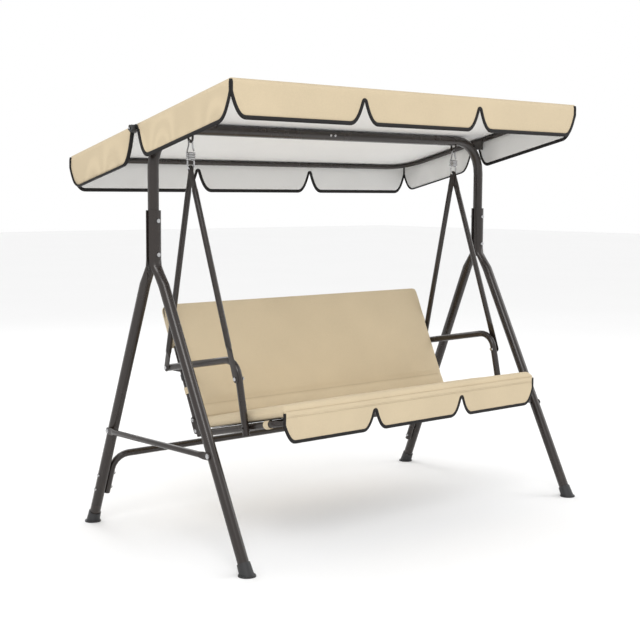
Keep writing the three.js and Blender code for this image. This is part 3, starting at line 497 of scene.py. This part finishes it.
def refined(node_name):
    """A welded copy of a hard piece with smooth shading, standing for the CAD node."""
    source = frame["nodes"][node_name]
    mesh = source.data.copy()
    mesh.name = node_name + "_finished"
    work = bmesh.new()
    work.from_mesh(mesh)
    bmesh.ops.remove_doubles(work, verts=work.verts, dist=0.00002)
    bmesh.ops.dissolve_limit(work, angle_limit=math.radians(1.0), verts=work.verts, edges=work.edges)
    bmesh.ops.recalc_face_normals(work, faces=work.faces)
    work.to_mesh(mesh)
    work.free()
    mesh.materials.clear()
    mesh.materials.append(material(FINISH_OF_SLOT[NODE_SLOT[node_name]]))
    piece = bpy.data.objects.new(node_name + "_finished", mesh)
    bpy.context.scene.collection.objects.link(piece)
    sharp_by_angle(mesh, 40)
    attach(piece, NODE_BODY[node_name])
    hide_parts(node_name)
    return piece


class SWINGBENCH_OT_frame_finish(bpy.types.Operator):
    """Gives every hard piece its finish"""
    bl_idname = "swing_bench.frame_finish"
    bl_label = "Finish Frame Pieces"

    def execute(self, context):
        for node_name in frame["nodes"]:
            if node_name not in MADE_ANEW:
                refined(node_name)
        return {"FINISHED"}


# ---- springs -------------------------------------------------------------------------------------

SPRING_WIRE = 0.0028        # radius of the wire
SPRING_TURNS = 4.5


def coil_spring(side):
    """A close coil of round wire between the hook ends above and below it."""
    low, high = BOXES[f"spring_coil_{side}"]
    centre = (low + high) / 2
    radius = (high.x - low.x) / 2 - SPRING_WIRE
    steps = round(SPRING_TURNS * 28)
    path = []
    for k in range(steps + 1):
        angle = 2 * math.pi * SPRING_TURNS * k / steps
        x = centre.x + radius * math.cos(angle)
        y = centre.y + radius * math.sin(angle)
        height = low.z + SPRING_WIRE + (high.z - low.z - 2 * SPRING_WIRE) * k / steps
        path.append(Vector((x, y, height)))
    points, faces = swept(path, round_outline(SPRING_WIRE, 12), (0, 0, 1))
    piece = new_piece(f"coil_spring_{side}", points, faces, "bright_plating")
    outward(piece)
    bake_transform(piece)
    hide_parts(f"spring_coil_{side}")
    return piece


class SWINGBENCH_OT_springs(bpy.types.Operator):
    """Makes the two coil springs, which run between their hooks"""
    bl_idname = "swing_bench.springs"
    bl_label = "Make Springs"

    def execute(self, context):
        for side, _ in SIDES:
            coil_spring(side)
        return {"FINISHED"}


# ---- roof cover ----------------------------------------------------------------------------------

ROOF_SLOPE = 0.2412         # fall of the roof from front to back, as a share of its run
TUBE_INSET = 0.016          # from the edge of the roof to the middle of the tube inside it
VALANCE_DEPTH = 0.118
VALANCE_SLIT = 0.004        # how far each valance stands out from the roof's edge
VALANCE_ROWS = 9


class Valance:
    """The outline of a hanging edge: rounded ends, flared notches and a depth at each place."""

    def __init__(self, length, depth, notches, notch_top, notch_radius, flare, end_rise, end_run):
        self.half = length / 2
        self.depth = depth
        self.notches = notches
        self.notch_top = notch_top
        self.notch_radius = notch_radius
        self.flare = flare
        self.end_rise = end_rise
        self.end_run = end_run

    def depth_at(self, s):
        fall = self.depth
        from_end = self.half - abs(s)
        if from_end < self.end_run:
            share = 1 - from_end / self.end_run
            fall -= self.end_rise * share ** 2.4
        for middle in self.notches:
            away = abs(s - middle)
            if away < self.notch_radius * 0.999:
                shoulder = self.notch_top + self.notch_radius
                return shoulder - math.sqrt(max(self.notch_radius ** 2 - away ** 2, 0.0))
            if away < self.notch_radius + self.flare:
                share = 1 - (away - self.notch_radius) / self.flare
                fall -= (self.depth - self.notch_top) * 0.90 * share ** 2.5
        return fall

    def area(self):
        """Flat area of the hanging cloth, added up in thin strips."""
        strips = 4000
        width = 2 * self.half / strips
        return sum(self.depth_at(-self.half + width * (k + 0.5)) for k in range(strips)) * width

    def stations(self, step=0.012):
        """Places along the edge, close together round notches and ends."""
        places = {-self.half, self.half}
        count = math.ceil(2 * self.half / step)
        places.update(-self.half + 2 * self.half * k / count for k in range(count + 1))
        for end in (-1, 1):
            places.update(end * (self.half - self.end_run * (k / 14) ** 1.5) for k in range(15))
        for middle in self.notches:
            inner = self.notch_radius
            for side in (-1, 1):
                places.update(middle + side * inner * k / 6 for k in range(6))
                places.add(middle + side * inner * 0.9985)
                places.update(middle + side * (inner + self.flare * (k / 12) ** 1.6) for k in range(13))
        kept = []
        for place in sorted(round(p, 6) for p in places):
            if not kept or place - kept[-1] > 0.00001:
                kept.append(place)
        return kept


def roof_measures():
    """The corners of the roof's box, its middle from front to back, and its height there."""
    low, high = BOXES["canopy_cover"]
    middle_y = (low.y + high.y) / 2
    top_at_middle = high.z - ROOF_SLOPE * (middle_y - low.y)
    return low, high, middle_y, top_at_middle


def roof_height(x, y, sag):
    """Height of the roof's outer face: a slope that dips between the tubes and rides over the top bar."""
    low, high, middle_y, top = roof_measures()
    plane = top - ROOF_SLOPE * (y - middle_y)
    across = max(0.0, min(1.0, abs(x) / (high.x - TUBE_INSET)))
    front_span = max(0.0, min(1.0, (y - low.y - TUBE_INSET) / (BAR_Y - low.y - TUBE_INSET)))
    rear_span = max(0.0, min(1.0, (y - BAR_Y) / (high.y - TUBE_INSET - BAR_Y)))
    dip = math.sin(math.pi * front_span) + math.sin(math.pi * rear_span)
    ripple = 0.22 * noise.noise(Vector((x * 3.1, y * 5.3, 0.7)))
    return plane - sag * (1 - across ** 6) * dip * (1 + ripple)


def roof_mesh(sag):
    """Roof and four valances as one sheet, the valances' free edges as paths, and its flat area."""
    low, high, middle_y, _ = roof_measures()
    hinge_y = JOINTS["canopy_tilt"]["pos_m"][1]
    shape = {"depth": VALANCE_DEPTH, "flare": 0.060, "end_rise": 0.078, "end_run": 0.060}
    long_edge = Valance(high.x - low.x - 2 * VALANCE_SLIT, notches=[-0.29, 0.29], notch_top=0.040,
                        notch_radius=0.008, **shape)
    side_edge = Valance(high.y - low.y - 2 * VALANCE_SLIT, notches=[hinge_y - middle_y], notch_top=0.006,
                        notch_radius=0.017, **shape)
    xs = long_edge.stations()
    ys = [middle_y + s for s in side_edge.stations()]
    work = bmesh.new()
    grid = {}
    for i, x in enumerate(xs):
        for j, y in enumerate(ys):
            grid[i, j] = work.verts.new((x, y, roof_height(x, y, sag)))
    for i in range(len(xs) - 1):
        for j in range(len(ys) - 1):
            work.faces.new((grid[i, j], grid[i + 1, j], grid[i + 1, j + 1], grid[i, j + 1]))
    edges = []
    rows = VALANCE_ROWS

    def hang(columns, way, edge, places):
        """Hangs cloth from a row of roof points. way is the level direction out of the roof."""
        path = []
        below = []
        for corner, s in zip(columns, places):
            fall = edge.depth_at(s)
            column = [corner]
            for row in range(1, rows + 1):
                share = row / rows
                drop = fall * share
                out = VALANCE_SLIT * min(1.0, drop / 0.012)
                wave = 0.0022 * share * noise.noise(Vector((corner.co.x * 7.0, corner.co.y * 7.0, 2.0)))
                place = corner.co + Vector(way) * (out - 0.0018 + wave) + Vector((0, 0, -drop))
                column.append(work.verts.new(place))
            below.append(column)
            path.append(column[-1].co.copy())
        for first, second in zip(below, below[1:]):
            for row in range(rows):
                work.faces.new((first[row], first[row + 1], second[row + 1], second[row]))
        start = [v.co.copy() for v in below[0][1:]]
        stop = [v.co.copy() for v in reversed(below[-1][1:-1])]
        edges.append((start + path[1:] + stop, Vector(way)))

    last_i, last_j = len(xs) - 1, len(ys) - 1
    hang([grid[i, 0] for i in range(len(xs))], (0, -1, 0), long_edge, xs)
    hang([grid[i, last_j] for i in range(len(xs))], (0, 1, 0), long_edge, xs)
    hang([grid[0, j] for j in range(len(ys))], (-1, 0, 0), side_edge, [y - middle_y for y in ys])
    hang([grid[last_i, j] for j in range(len(ys))], (1, 0, 0), side_edge, [y - middle_y for y in ys])
    bmesh.ops.recalc_face_normals(work, faces=work.faces)
    if sum(face.normal.z for face in work.faces) < 0:
        bmesh.ops.reverse_faces(work, faces=work.faces)
    for face in work.faces:
        face.smooth = True
    mesh = bpy.data.meshes.new("roof_fabric")
    work.to_mesh(mesh)
    work.free()
    roof_area = (high.x - low.x) * (high.y - low.y) * math.hypot(1, ROOF_SLOPE)
    return mesh, edges, roof_area + 2 * long_edge.area() + 2 * side_edge.area()


class SWINGBENCH_OT_canopy(bpy.types.Operator):
    """Makes the roof cover with its valances and bound edges"""
    bl_idname = "swing_bench.canopy"
    bl_label = "Make Canopy"

    def execute(self, context):
        settings = context.scene.swing_bench_canopy
        mesh, edges, area = roof_mesh(settings.roof_sag)
        roof = bpy.data.objects.new("roof_fabric", mesh)
        context.scene.collection.objects.link(roof)
        mesh.materials.append(material("cover_cloth"))
        mesh.materials.append(material("roof_lining"))
        thick = roof.modifiers.new("thickness", "SOLIDIFY")
        thick.thickness = settings.fabric
        thick.offset = -1
        thick.material_offset = 1
        bake_modifiers(roof)
        binding = tape_piece("roof_edge_binding", edges, settings.piping, "edge_binding")
        for piece in (roof, binding):
            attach(piece, "canopy")
        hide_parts("canopy_cover")
        return {"FINISHED"}


# ---- seat and backrest covers --------------------------------------------------------------------

SLING_THICK = 0.0025
SEAT_REAR = -0.055          # the seat cushion's ends, forward of the sling's rear edge
SEAT_FRONT = 0.404
SEAT_BOTTOM = 0.0032        # the seat cushion's faces, above the sling
SEAT_TOP = 0.0446
SEAT_MIDDLE = 0.0236
BACK_LEAN = math.radians(24.75)
BACK_TUBE = 0.0125          # radius of the tube of the backrest and the seat frame
BACK_LENGTH = 0.4658
BACK_COVER_TOP = BACK_LENGTH + BACK_TUBE + 0.0045
BACK_CORNER = 0.022
BACK_SEAM = 0.098           # height of the seam across the front, along the backrest
BACK_HEM = 0.340            # height of the hood's hem behind, along the backrest


def seat_frame_of_reference():
    """The seat's rear edge, and the directions forward along the seat and square to it."""
    low, high = BOXES["seat_sling"]
    angle = math.atan2(high.z - low.z - SLING_THICK, high.y - low.y)
    ahead = Vector((0, -math.cos(angle), math.sin(angle)))
    above = Vector((0, math.sin(angle), math.cos(angle)))
    return Vector((0, high.y, low.z)), ahead, above


def back_frame_of_reference():
    """The foot of the backrest's centre line, and the directions up along it and square to it."""
    low, high = BOXES["back_frame"]
    along = Vector((0, math.sin(BACK_LEAN), math.cos(BACK_LEAN)))
    ahead = Vector((0, -math.cos(BACK_LEAN), math.sin(BACK_LEAN)))
    top = Vector((0, high.y - BACK_TUBE, high.z - BACK_TUBE))
    return top - along * BACK_LENGTH, along, ahead


def pillow_stations(half, soft, steps=72):
    """Places across a cushion with how full it is at each, closing round at both ends."""
    made = []
    ends = 7
    for k in range(ends):
        turn = math.pi / 2 * k / ends
        made.append((-half + soft * (1 - math.cos(turn)) * 0.999, math.sin(turn)))
    inner = half - soft
    made.extend((-inner + 2 * inner * k / steps, 1.0) for k in range(steps + 1))
    made.extend((-x, full) for x, full in reversed(made[:ends]))
    return made


def lofted(name, rings, finish):
    """A closed body through rings of points, capped at both ends."""
    points = [p for ring in rings for p in ring]
    piece = new_piece(name, points, ring_faces(len(rings), len(rings[0])), finish)
    outward(piece)
    return piece


def seat_profile():
    """The seat cushion from the side, as (forward, above) pairs, counted from the sling's rear edge."""
    rear, front, top = SEAT_REAR, SEAT_FRONT, SEAT_TOP
    roll = 0.018
    loop = [(rear + (front - rear) * k / 16, SEAT_BOTTOM) for k in range(17)]
    loop.append((front, top - roll))
    for k in range(1, 7):
        turn = math.pi / 2 * k / 6
        loop.append((front - roll + roll * math.cos(turn), top - roll + roll * math.sin(turn)))
    loop.extend((front - roll - (front - roll - rear - 0.012) * k / 28, top) for k in range(1, 29))
    loop.append((rear + 0.004, top - 0.004))
    loop.append((rear, top - 0.014))
    return loop


def seat_cushion(crown, wrinkle):
    """The padded seat, fullest in the middle, with soft wrinkles on top."""
    origin, ahead, above = seat_frame_of_reference()
    half = BOXES["seat_cover"][1].x
    loop = seat_profile()
    middle = SEAT_MIDDLE
    rings = []
    for x, full in pillow_stations(half - 0.0015, soft=0.016):
        ring = []
        for forward, up in loop:
            share = max(0.0, min(1.0, (up - SEAT_BOTTOM) / (SEAT_TOP - SEAT_BOTTOM)))
            along = (forward - SEAT_REAR) / (SEAT_FRONT - SEAT_REAR)
            bulge = math.sin(math.pi * min(max(along, 0.0), 1.0)) ** 0.6
            swell = crown * bulge * (1 - abs(x / half) ** 4)
            crease = wrinkle * noise.noise(Vector((x * 9.0, forward * 26.0, 3.0)))
            crease += 0.6 * wrinkle * noise.noise(Vector((x * 31.0, forward * 9.0, 8.0)))
            raised = up + share * (swell + crease - 0.003)
            lift = middle + (raised - middle) * max(full, 0.12)
            ring.append(origin + Vector((x, 0, 0)) + ahead * forward + above * lift)
        rings.append(ring)
    return lofted("seat_cushion", rings, "cover_cloth")


def seat_valance_shape():
    """The outline of the flap, with a notch either side of the middle."""
    half = BOXES["seat_cover"][1].x
    third = 0.35 * half
    return Valance(2 * half - 0.004, depth=0.102, notches=[-third, third], notch_top=0.036,
                   notch_radius=0.008, flare=0.050, end_rise=0.058, end_run=0.050)


def seat_valance(wrinkle):
    """The flap that hangs from the front of the seat, its free edge, its head and its outline."""
    low = BOXES["seat_cover"][0]
    origin, ahead, above = seat_frame_of_reference()
    head = origin + ahead * SEAT_FRONT + above * 0.020
    shape = seat_valance_shape()
    rows = 10
    front = low.y + 0.0006
    points = []
    faces = []
    places = shape.stations(0.010)
    path = []
    for s in places:
        fall = shape.depth_at(s)
        for row in range(rows + 1):
            share = row / rows
            fold = wrinkle * 2.4 * noise.noise(Vector((s * 22.0, share * 1.5, 5.0))) * (0.3 + share)
            y = front + 0.0016 - abs(fold) * 0.4
            points.append(Vector((s, y, head.z - fall * share)))
        path.append(points[-1].copy())
    for column in range(len(places) - 1):
        for row in range(rows):
            a = column * (rows + 1) + row
            faces.append((a, a + 1, a + rows + 2, a + rows + 1))
    flap = new_piece("seat_front_flap", points, faces, "cover_cloth")
    thick = flap.modifiers.new("thickness", "SOLIDIFY")
    thick.thickness = 0.0024
    thick.offset = 0
    bake_modifiers(flap)
    start = [points[row] for row in range(1, rows + 1)]
    stop = [points[(len(places) - 1) * (rows + 1) + row] for row in range(rows - 1, 0, -1)]
    return flap, start + path[1:] + stop, Vector((0, front - 0.0002, head.z)), shape


def stitch_dashes(name, path, length=0.006, space=0.0035, radius=0.0006):
    """Short raised stitches along a path."""
    runs = []
    travelled = 0.0
    dense = smooth_path(path, 0.001)
    run = []
    for here, there in zip(dense, dense[1:]):
        position = travelled % (length + space)
        travelled += (there - here).length
        if position < length:
            run.append(here)
        elif run:
            if len(run) > 2:
                runs.append([run[0], run[len(run) // 2], run[-1]])
            run = []
    return cord_piece(name, runs, radius, "stitch_thread", sides=5)


class SWINGBENCH_OT_seat_cover(bpy.types.Operator):
    """Makes the padded seat cover with its front flap"""
    bl_idname = "swing_bench.seat_cover"
    bl_label = "Make Seat Cover"

    def execute(self, context):
        settings = context.scene.swing_bench_seat
        cushion = seat_cushion(settings.crown, settings.wrinkle)
        flap, edge, head, shape = seat_valance(settings.wrinkle)
        binding = tape_piece("seat_edge_binding", [(edge, (0, -1, 0))], 0.013, "edge_binding")
        row = head.z - 0.020
        half = shape.half - 0.004
        line = [Vector((sign * half, head.y - 0.0006, row)) for _, sign in SIDES]
        stitches = stitch_dashes("seat_flap_stitches", line)
        for piece in (cushion, flap, binding, stitches):
            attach(piece, "seat")
        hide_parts("seat_cover")
        shape.area()
        return {"FINISHED"}


def back_profile():
    """The back cover from the side, as (along, ahead) pairs: a panel below and a hood over the top."""
    front, rear, panel = 0.0265, -0.0175, 0.0145
    top = BACK_COVER_TOP
    start, hood, soft = 0.049, 0.326, 0.012
    loop = [(start + (top - soft - start) * k / 34, front) for k in range(35)]
    for k in range(1, 8):
        turn = math.pi * k / 8
        middle = (front + rear) / 2
        loop.append((top - soft + soft * math.sin(turn), middle + (front - rear) / 2 * math.cos(turn)))
    loop.extend((top - soft - (top - soft - hood) * k / 12, rear) for k in range(13))
    loop.extend((hood + 0.0005, rear + (panel - rear) * k / 3) for k in (1, 2))
    loop.extend((hood - (hood - start) * k / 18, panel) for k in range(19))
    return loop


def back_surface(x, along, ahead):
    """A point by its place across, its height along the backrest and its distance ahead of it."""
    origin, along_way, ahead_way = back_frame_of_reference()
    return origin + Vector((x, 0, 0)) + along_way * along + ahead_way * ahead


def back_half_width(along):
    """Half the back cover's width at a height: round corners on top, and narrower below the hood."""
    top, corner = BACK_COVER_TOP, BACK_CORNER
    wide = BOXES["back_cover"][1].x
    if along > top - corner:
        rise = min(along - (top - corner), corner)
        return wide - corner + math.sqrt(max(corner ** 2 - rise ** 2, 0.0))
    if along < 0.324:
        return wide - 0.0068
    return wide


def back_cushion(wrinkle):
    """The padded backrest cover, pinched in along its seam."""
    loop = back_profile()
    rings = []
    for place, full in pillow_stations(1.0, soft=0.012):
        ring = []
        for along, ahead in loop:
            half = back_half_width(along)
            x = place * half
            hooded = along > 0.33
            middle = 0.0045 if hooded else 0.0205
            swell = 0.0
            if ahead > 0.02:
                height = (along - 0.08) / 0.40
                swell = 0.004 * math.sin(math.pi * min(max(height, 0), 1)) * (1 - abs(place) ** 4)
                swell += wrinkle * noise.noise(Vector((x * 8.0, along * 15.0, 11.0)))
                swell += 0.5 * wrinkle * noise.noise(Vector((x * 25.0, along * 25.0, 4.0)))
                pinch = math.exp(-((along - BACK_SEAM) / 0.010) ** 2)
                swell -= 0.004 * pinch
            reach = middle + (ahead + swell - middle) * max(full, 0.35)
            ring.append(back_surface(x, along, reach))
        rings.append(ring)
    return lofted("back_cushion", rings, "cover_cloth")


class SWINGBENCH_OT_back_cover(bpy.types.Operator):
    """Makes the backrest cover with its hood and seams"""
    bl_idname = "swing_bench.back_cover"
    bl_label = "Make Back Cover"

    def execute(self, context):
        settings = context.scene.swing_bench_seat
        cushion = back_cushion(settings.wrinkle)
        half = back_half_width(0.2) - 0.012
        seam_line = [back_surface(sign * half, BACK_SEAM, 0.0262) for _, sign in SIDES]
        seam = stitch_dashes("back_panel_stitches", seam_line)
        hood_half = back_half_width(BACK_HEM) - 0.008
        hem_line = [back_surface(sign * hood_half, BACK_HEM, -0.0178) for _, sign in SIDES]
        hem = stitch_dashes("back_hood_stitches", hem_line)
        for piece in (cushion, seam, hem):
            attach(piece, "seat")
        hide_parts("back_cover")
        return {"FINISHED"}


# ---- small fittings ------------------------------------------------------------------------------

SEAT_TUBE_DROP = 0.0129     # from the sling's rear edge down to the middle of the seat tube
LINK_BOLT_PLACES = (        # distance behind the top bar, and height, None where it follows the seat tube
    ("front", -0.052, None),
    ("low", 0.010, 0.368),
    ("high", 0.027, 0.404),
)


def domed_bolt(name, place, way, head_radius=0.0065, head_height=0.0042):
    """A domed bolt head on a washer, standing out of a surface along way."""
    washer = head_radius * 1.35
    profile = [(0.0, 0.0), (washer, 0.0), (washer, 0.0009), (head_radius, 0.0011),
               (head_radius, head_height * 0.62), (head_radius * 0.86, head_height * 0.85),
               (head_radius * 0.5, head_height), (0.0002, head_height * 1.03)]
    sides = 20
    turn = Vector((0, 0, 1)).rotation_difference(Vector(way)).to_matrix()
    points = []
    for radius, height in profile:
        reach = max(radius, 0.0002)
        for k in range(sides):
            angle = 2 * math.pi * k / sides
            spot = Vector((reach * math.cos(angle), reach * math.sin(angle), height))
            points.append(Vector(place) + turn @ spot)
    faces = ring_faces(len(profile), sides)
    piece = new_piece(name, points, faces, "bright_plating")
    sharp_by_angle(piece.data, 40)
    return piece


def strap_round(name, place, way, radius, width, finish, thick=0.0016):
    """A flat strap wound once round a tube, with a slightly raised lap."""
    way = Vector(way).normalized()
    across = way.cross(Vector((1, 0, 0))).normalized()
    side = way.cross(across)
    turns = 28
    outline = [(-width / 2, 0), (width / 2, 0), (width / 2, thick), (-width / 2, thick)]
    points = []
    faces = []
    for k in range(turns):
        angle = 2 * math.pi * k / turns
        outward_way = across * math.cos(angle) + side * math.sin(angle)
        lap = 0.0012 * math.exp(-((angle - math.pi) / 0.5) ** 2)
        for along, lift in outline:
            reach = radius + 0.0003 + lift + lap * (lift > 0)
            points.append(Vector(place) + way * along + outward_way * reach)
    for k in range(turns):
        m = (k + 1) % turns
        for j in range(4):
            n = (j + 1) % 4
            faces.append((k * 4 + j, k * 4 + n, m * 4 + n, m * 4 + j))
    piece = new_piece(name, points, faces, finish)
    outward(piece)
    sharp_by_angle(piece.data, 50)
    return piece


def back_point(height):
    """A point on the backrest tube's centre line at a height above the ground."""
    origin, along_way, _ = back_frame_of_reference()
    return origin + along_way * ((height - origin.z) / along_way.z)


def seat_point(y):
    """A point on the seat tube's centre line at a distance from front to back."""
    origin, ahead, above = seat_frame_of_reference()
    start = origin - above * SEAT_TUBE_DROP
    return start + ahead * ((y - start.y) / ahead.y)


class SWINGBENCH_OT_fittings(bpy.types.Operator):
    """Makes the bolts, straps and clamp sleeves that the frame carries"""
    bl_idname = "swing_bench.fittings"
    bl_label = "Make Fittings"

    def execute(self, context):
        settings = context.scene.swing_bench_seat
        _, along_way, _ = back_frame_of_reference()
        _, ahead, _ = seat_frame_of_reference()
        tube_x = BOXES["seat_frame"][1].x - BACK_TUBE
        for side, sign in SIDES:
            low, high = BOXES[f"side_brace_{side}"]
            face = sign * (abs(low.x + high.x) / 2 + 0.0019)
            for end, y in (("front", low.y + 0.011), ("rear", high.y - 0.011)):
                middle = (low.z + high.z) / 2
                bolt = domed_bolt(f"brace_bolt_{end}_{side}", (face, y, middle), (sign, 0, 0))
                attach(bolt, "frame")
            link_low, link_high = BOXES[f"seat_link_{side}"]
            link_face = link_high.x if sign > 0 else link_low.x
            for spot, y, height in LINK_BOLT_PLACES:
                z = seat_point(y + BAR_Y).z if height is None else height
                place = (link_face, y + BAR_Y, z)
                bolt = domed_bolt(f"link_bolt_{spot}_{side}", place, (sign, 0, 0), 0.005, 0.0036)
                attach(bolt, "seat")
            across = Vector((sign * tube_x, 0, 0))
            sleeve = strap_round(f"clamp_sleeve_{side}", back_point(0.549) + across, along_way,
                                 BACK_TUBE, 0.020, "moulded_plastic", 0.0022)
            tie = strap_round(f"back_tie_{side}", back_point(0.502) + across, along_way,
                              BACK_TUBE, settings.strap_width, "cover_cloth")
            loop = strap_round(f"seat_tie_{side}", seat_point(BAR_Y - 0.370) + across, ahead,
                               BACK_TUBE, settings.strap_width, "cover_cloth")
            for piece in (sleeve, tie, loop):
                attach(piece, "seat")
        return {"FINISHED"}


# ---- stage ---------------------------------------------------------------------------------------

STAGE_LIGHTS = (            # name, place, width of the disk in metres, power in watts
    ("key", (-3.4, -3.2, 4.6), 2.6, 92),
    ("fill", (4.2, -2.2, 3.0), 3.2, 45),
    ("rim", (0.5, 4.6, 4.2), 3.0, 60),
)


def soft_light(name, place, target, size, power):
    """A disk light that points at a target."""
    lamp = bpy.data.lights.new(name, "AREA")
    lamp.shape = "DISK"
    lamp.size = size
    lamp.energy = power
    light = bpy.data.objects.new(name, lamp)
    bpy.context.scene.collection.objects.link(light)
    light.location = place
    light.rotation_euler = (Vector(target) - Vector(place)).to_track_quat("-Z", "Y").to_euler()
    return light


def pale_floor():
    mat, tree, shader = new_material("pale_floor")
    mottle = placed(tree, group("Mottle", mottle_group),
                    Colour=(0.93, 0.93, 0.93, 1.0), Shade=(0.91, 0.91, 0.91, 1.0),
                    Patch_Scale=0.6, Grain_Scale=90.0, Rough_Low=0.75, Rough_High=0.85)
    tree.links.new(mottle.outputs["Colour"], shader.inputs["Base Color"])
    tree.links.new(mottle.outputs["Roughness"], shader.inputs["Roughness"])
    return mat


def add_camera():
    place = Vector((-3.2899, -3.5438, 1.2043))
    azimuth, elevation, roll = math.radians(-42.04), math.radians(5.70), math.radians(0.337)
    level = math.cos(elevation)
    back = Vector((math.sin(azimuth) * level, -math.cos(azimuth) * level, math.sin(elevation)))
    right = (-back).cross(Vector((0, 0, 1))).normalized()
    up = right.cross(-back)
    turned_right = right * math.cos(roll) + up * math.sin(roll)
    turned_up = up * math.cos(roll) - right * math.sin(roll)
    lens = bpy.data.cameras.new("front_quarter")
    lens.lens = 72.19
    lens.sensor_width = 36.0
    camera = bpy.data.objects.new("front_quarter", lens)
    bpy.context.scene.collection.objects.link(camera)
    camera.matrix_world = Matrix((
        (turned_right.x, turned_up.x, back.x, place.x),
        (turned_right.y, turned_up.y, back.y, place.y),
        (turned_right.z, turned_up.z, back.z, place.z),
        (0, 0, 0, 1)))
    bpy.context.scene.camera = camera


class SWINGBENCH_OT_stage(bpy.types.Operator):
    """Makes the floor, the lights and the camera"""
    bl_idname = "swing_bench.stage"
    bl_label = "Make Stage"

    def execute(self, context):
        bpy.ops.mesh.primitive_plane_add(size=60, location=(0, 0, -0.0005))
        floor = context.object
        floor.name = "studio_floor"
        floor.data.materials.append(pale_floor())
        for name, place, size, power in STAGE_LIGHTS:
            soft_light(name, place, (0, 0, 0.8), size, power)
        world = bpy.data.worlds.new("studio")
        world.use_nodes = True
        world.node_tree.nodes["Background"].inputs["Color"].default_value = (1.0, 1.0, 1.0, 1.0)
        world.node_tree.nodes["Background"].inputs["Strength"].default_value = 1.0
        context.scene.world = world
        context.scene.view_settings.view_transform = "Standard"
        add_camera()
        return {"FINISHED"}


# ---- panel and registration ----------------------------------------------------------------------

class SWINGBENCH_PT_sidebar(bpy.types.Panel):
    """Lists the steps that make the bench"""
    bl_idname = "SWINGBENCH_PT_sidebar"
    bl_label = "Swing Bench"
    bl_space_type = "VIEW_3D"
    bl_region_type = "UI"
    bl_category = "Swing Bench"

    def draw(self, context):
        scene = context.scene
        for settings in (scene.swing_bench_canopy, scene.swing_bench_seat, scene.swing_bench_colours):
            column = self.layout.column()
            for name in settings.__annotations__:
                column.prop(settings, name)
        for step in STEPS:
            self.layout.operator(step.bl_idname)


STEPS = (
    SWINGBENCH_OT_stage,
    SWINGBENCH_OT_frame_finish,
    SWINGBENCH_OT_springs,
    SWINGBENCH_OT_canopy,
    SWINGBENCH_OT_seat_cover,
    SWINGBENCH_OT_back_cover,
    SWINGBENCH_OT_fittings,
)
GROUPS = {
    "swing_bench_canopy": SwingBenchCanopySettings,
    "swing_bench_seat": SwingBenchSeatSettings,
    "swing_bench_colours": SwingBenchColourSettings,
}
CLASSES = (*GROUPS.values(), *STEPS, SWINGBENCH_PT_sidebar)


def register():
    for cls in CLASSES:
        bpy.utils.register_class(cls)
    for name, cls in GROUPS.items():
        setattr(bpy.types.Scene, name, PointerProperty(type=cls))


def unregister():
    for name in GROUPS:
        delattr(bpy.types.Scene, name)
    for cls in reversed(CLASSES):
        bpy.utils.unregister_class(cls)


def main():
    register()
    bpy.ops.swing_bench.stage()
    bpy.ops.swing_bench.frame_finish()
    bpy.ops.swing_bench.springs()
    bpy.ops.swing_bench.canopy()
    bpy.ops.swing_bench.seat_cover()
    bpy.ops.swing_bench.back_cover()
    bpy.ops.swing_bench.fittings()


if __name__ == "__main__":
    main()
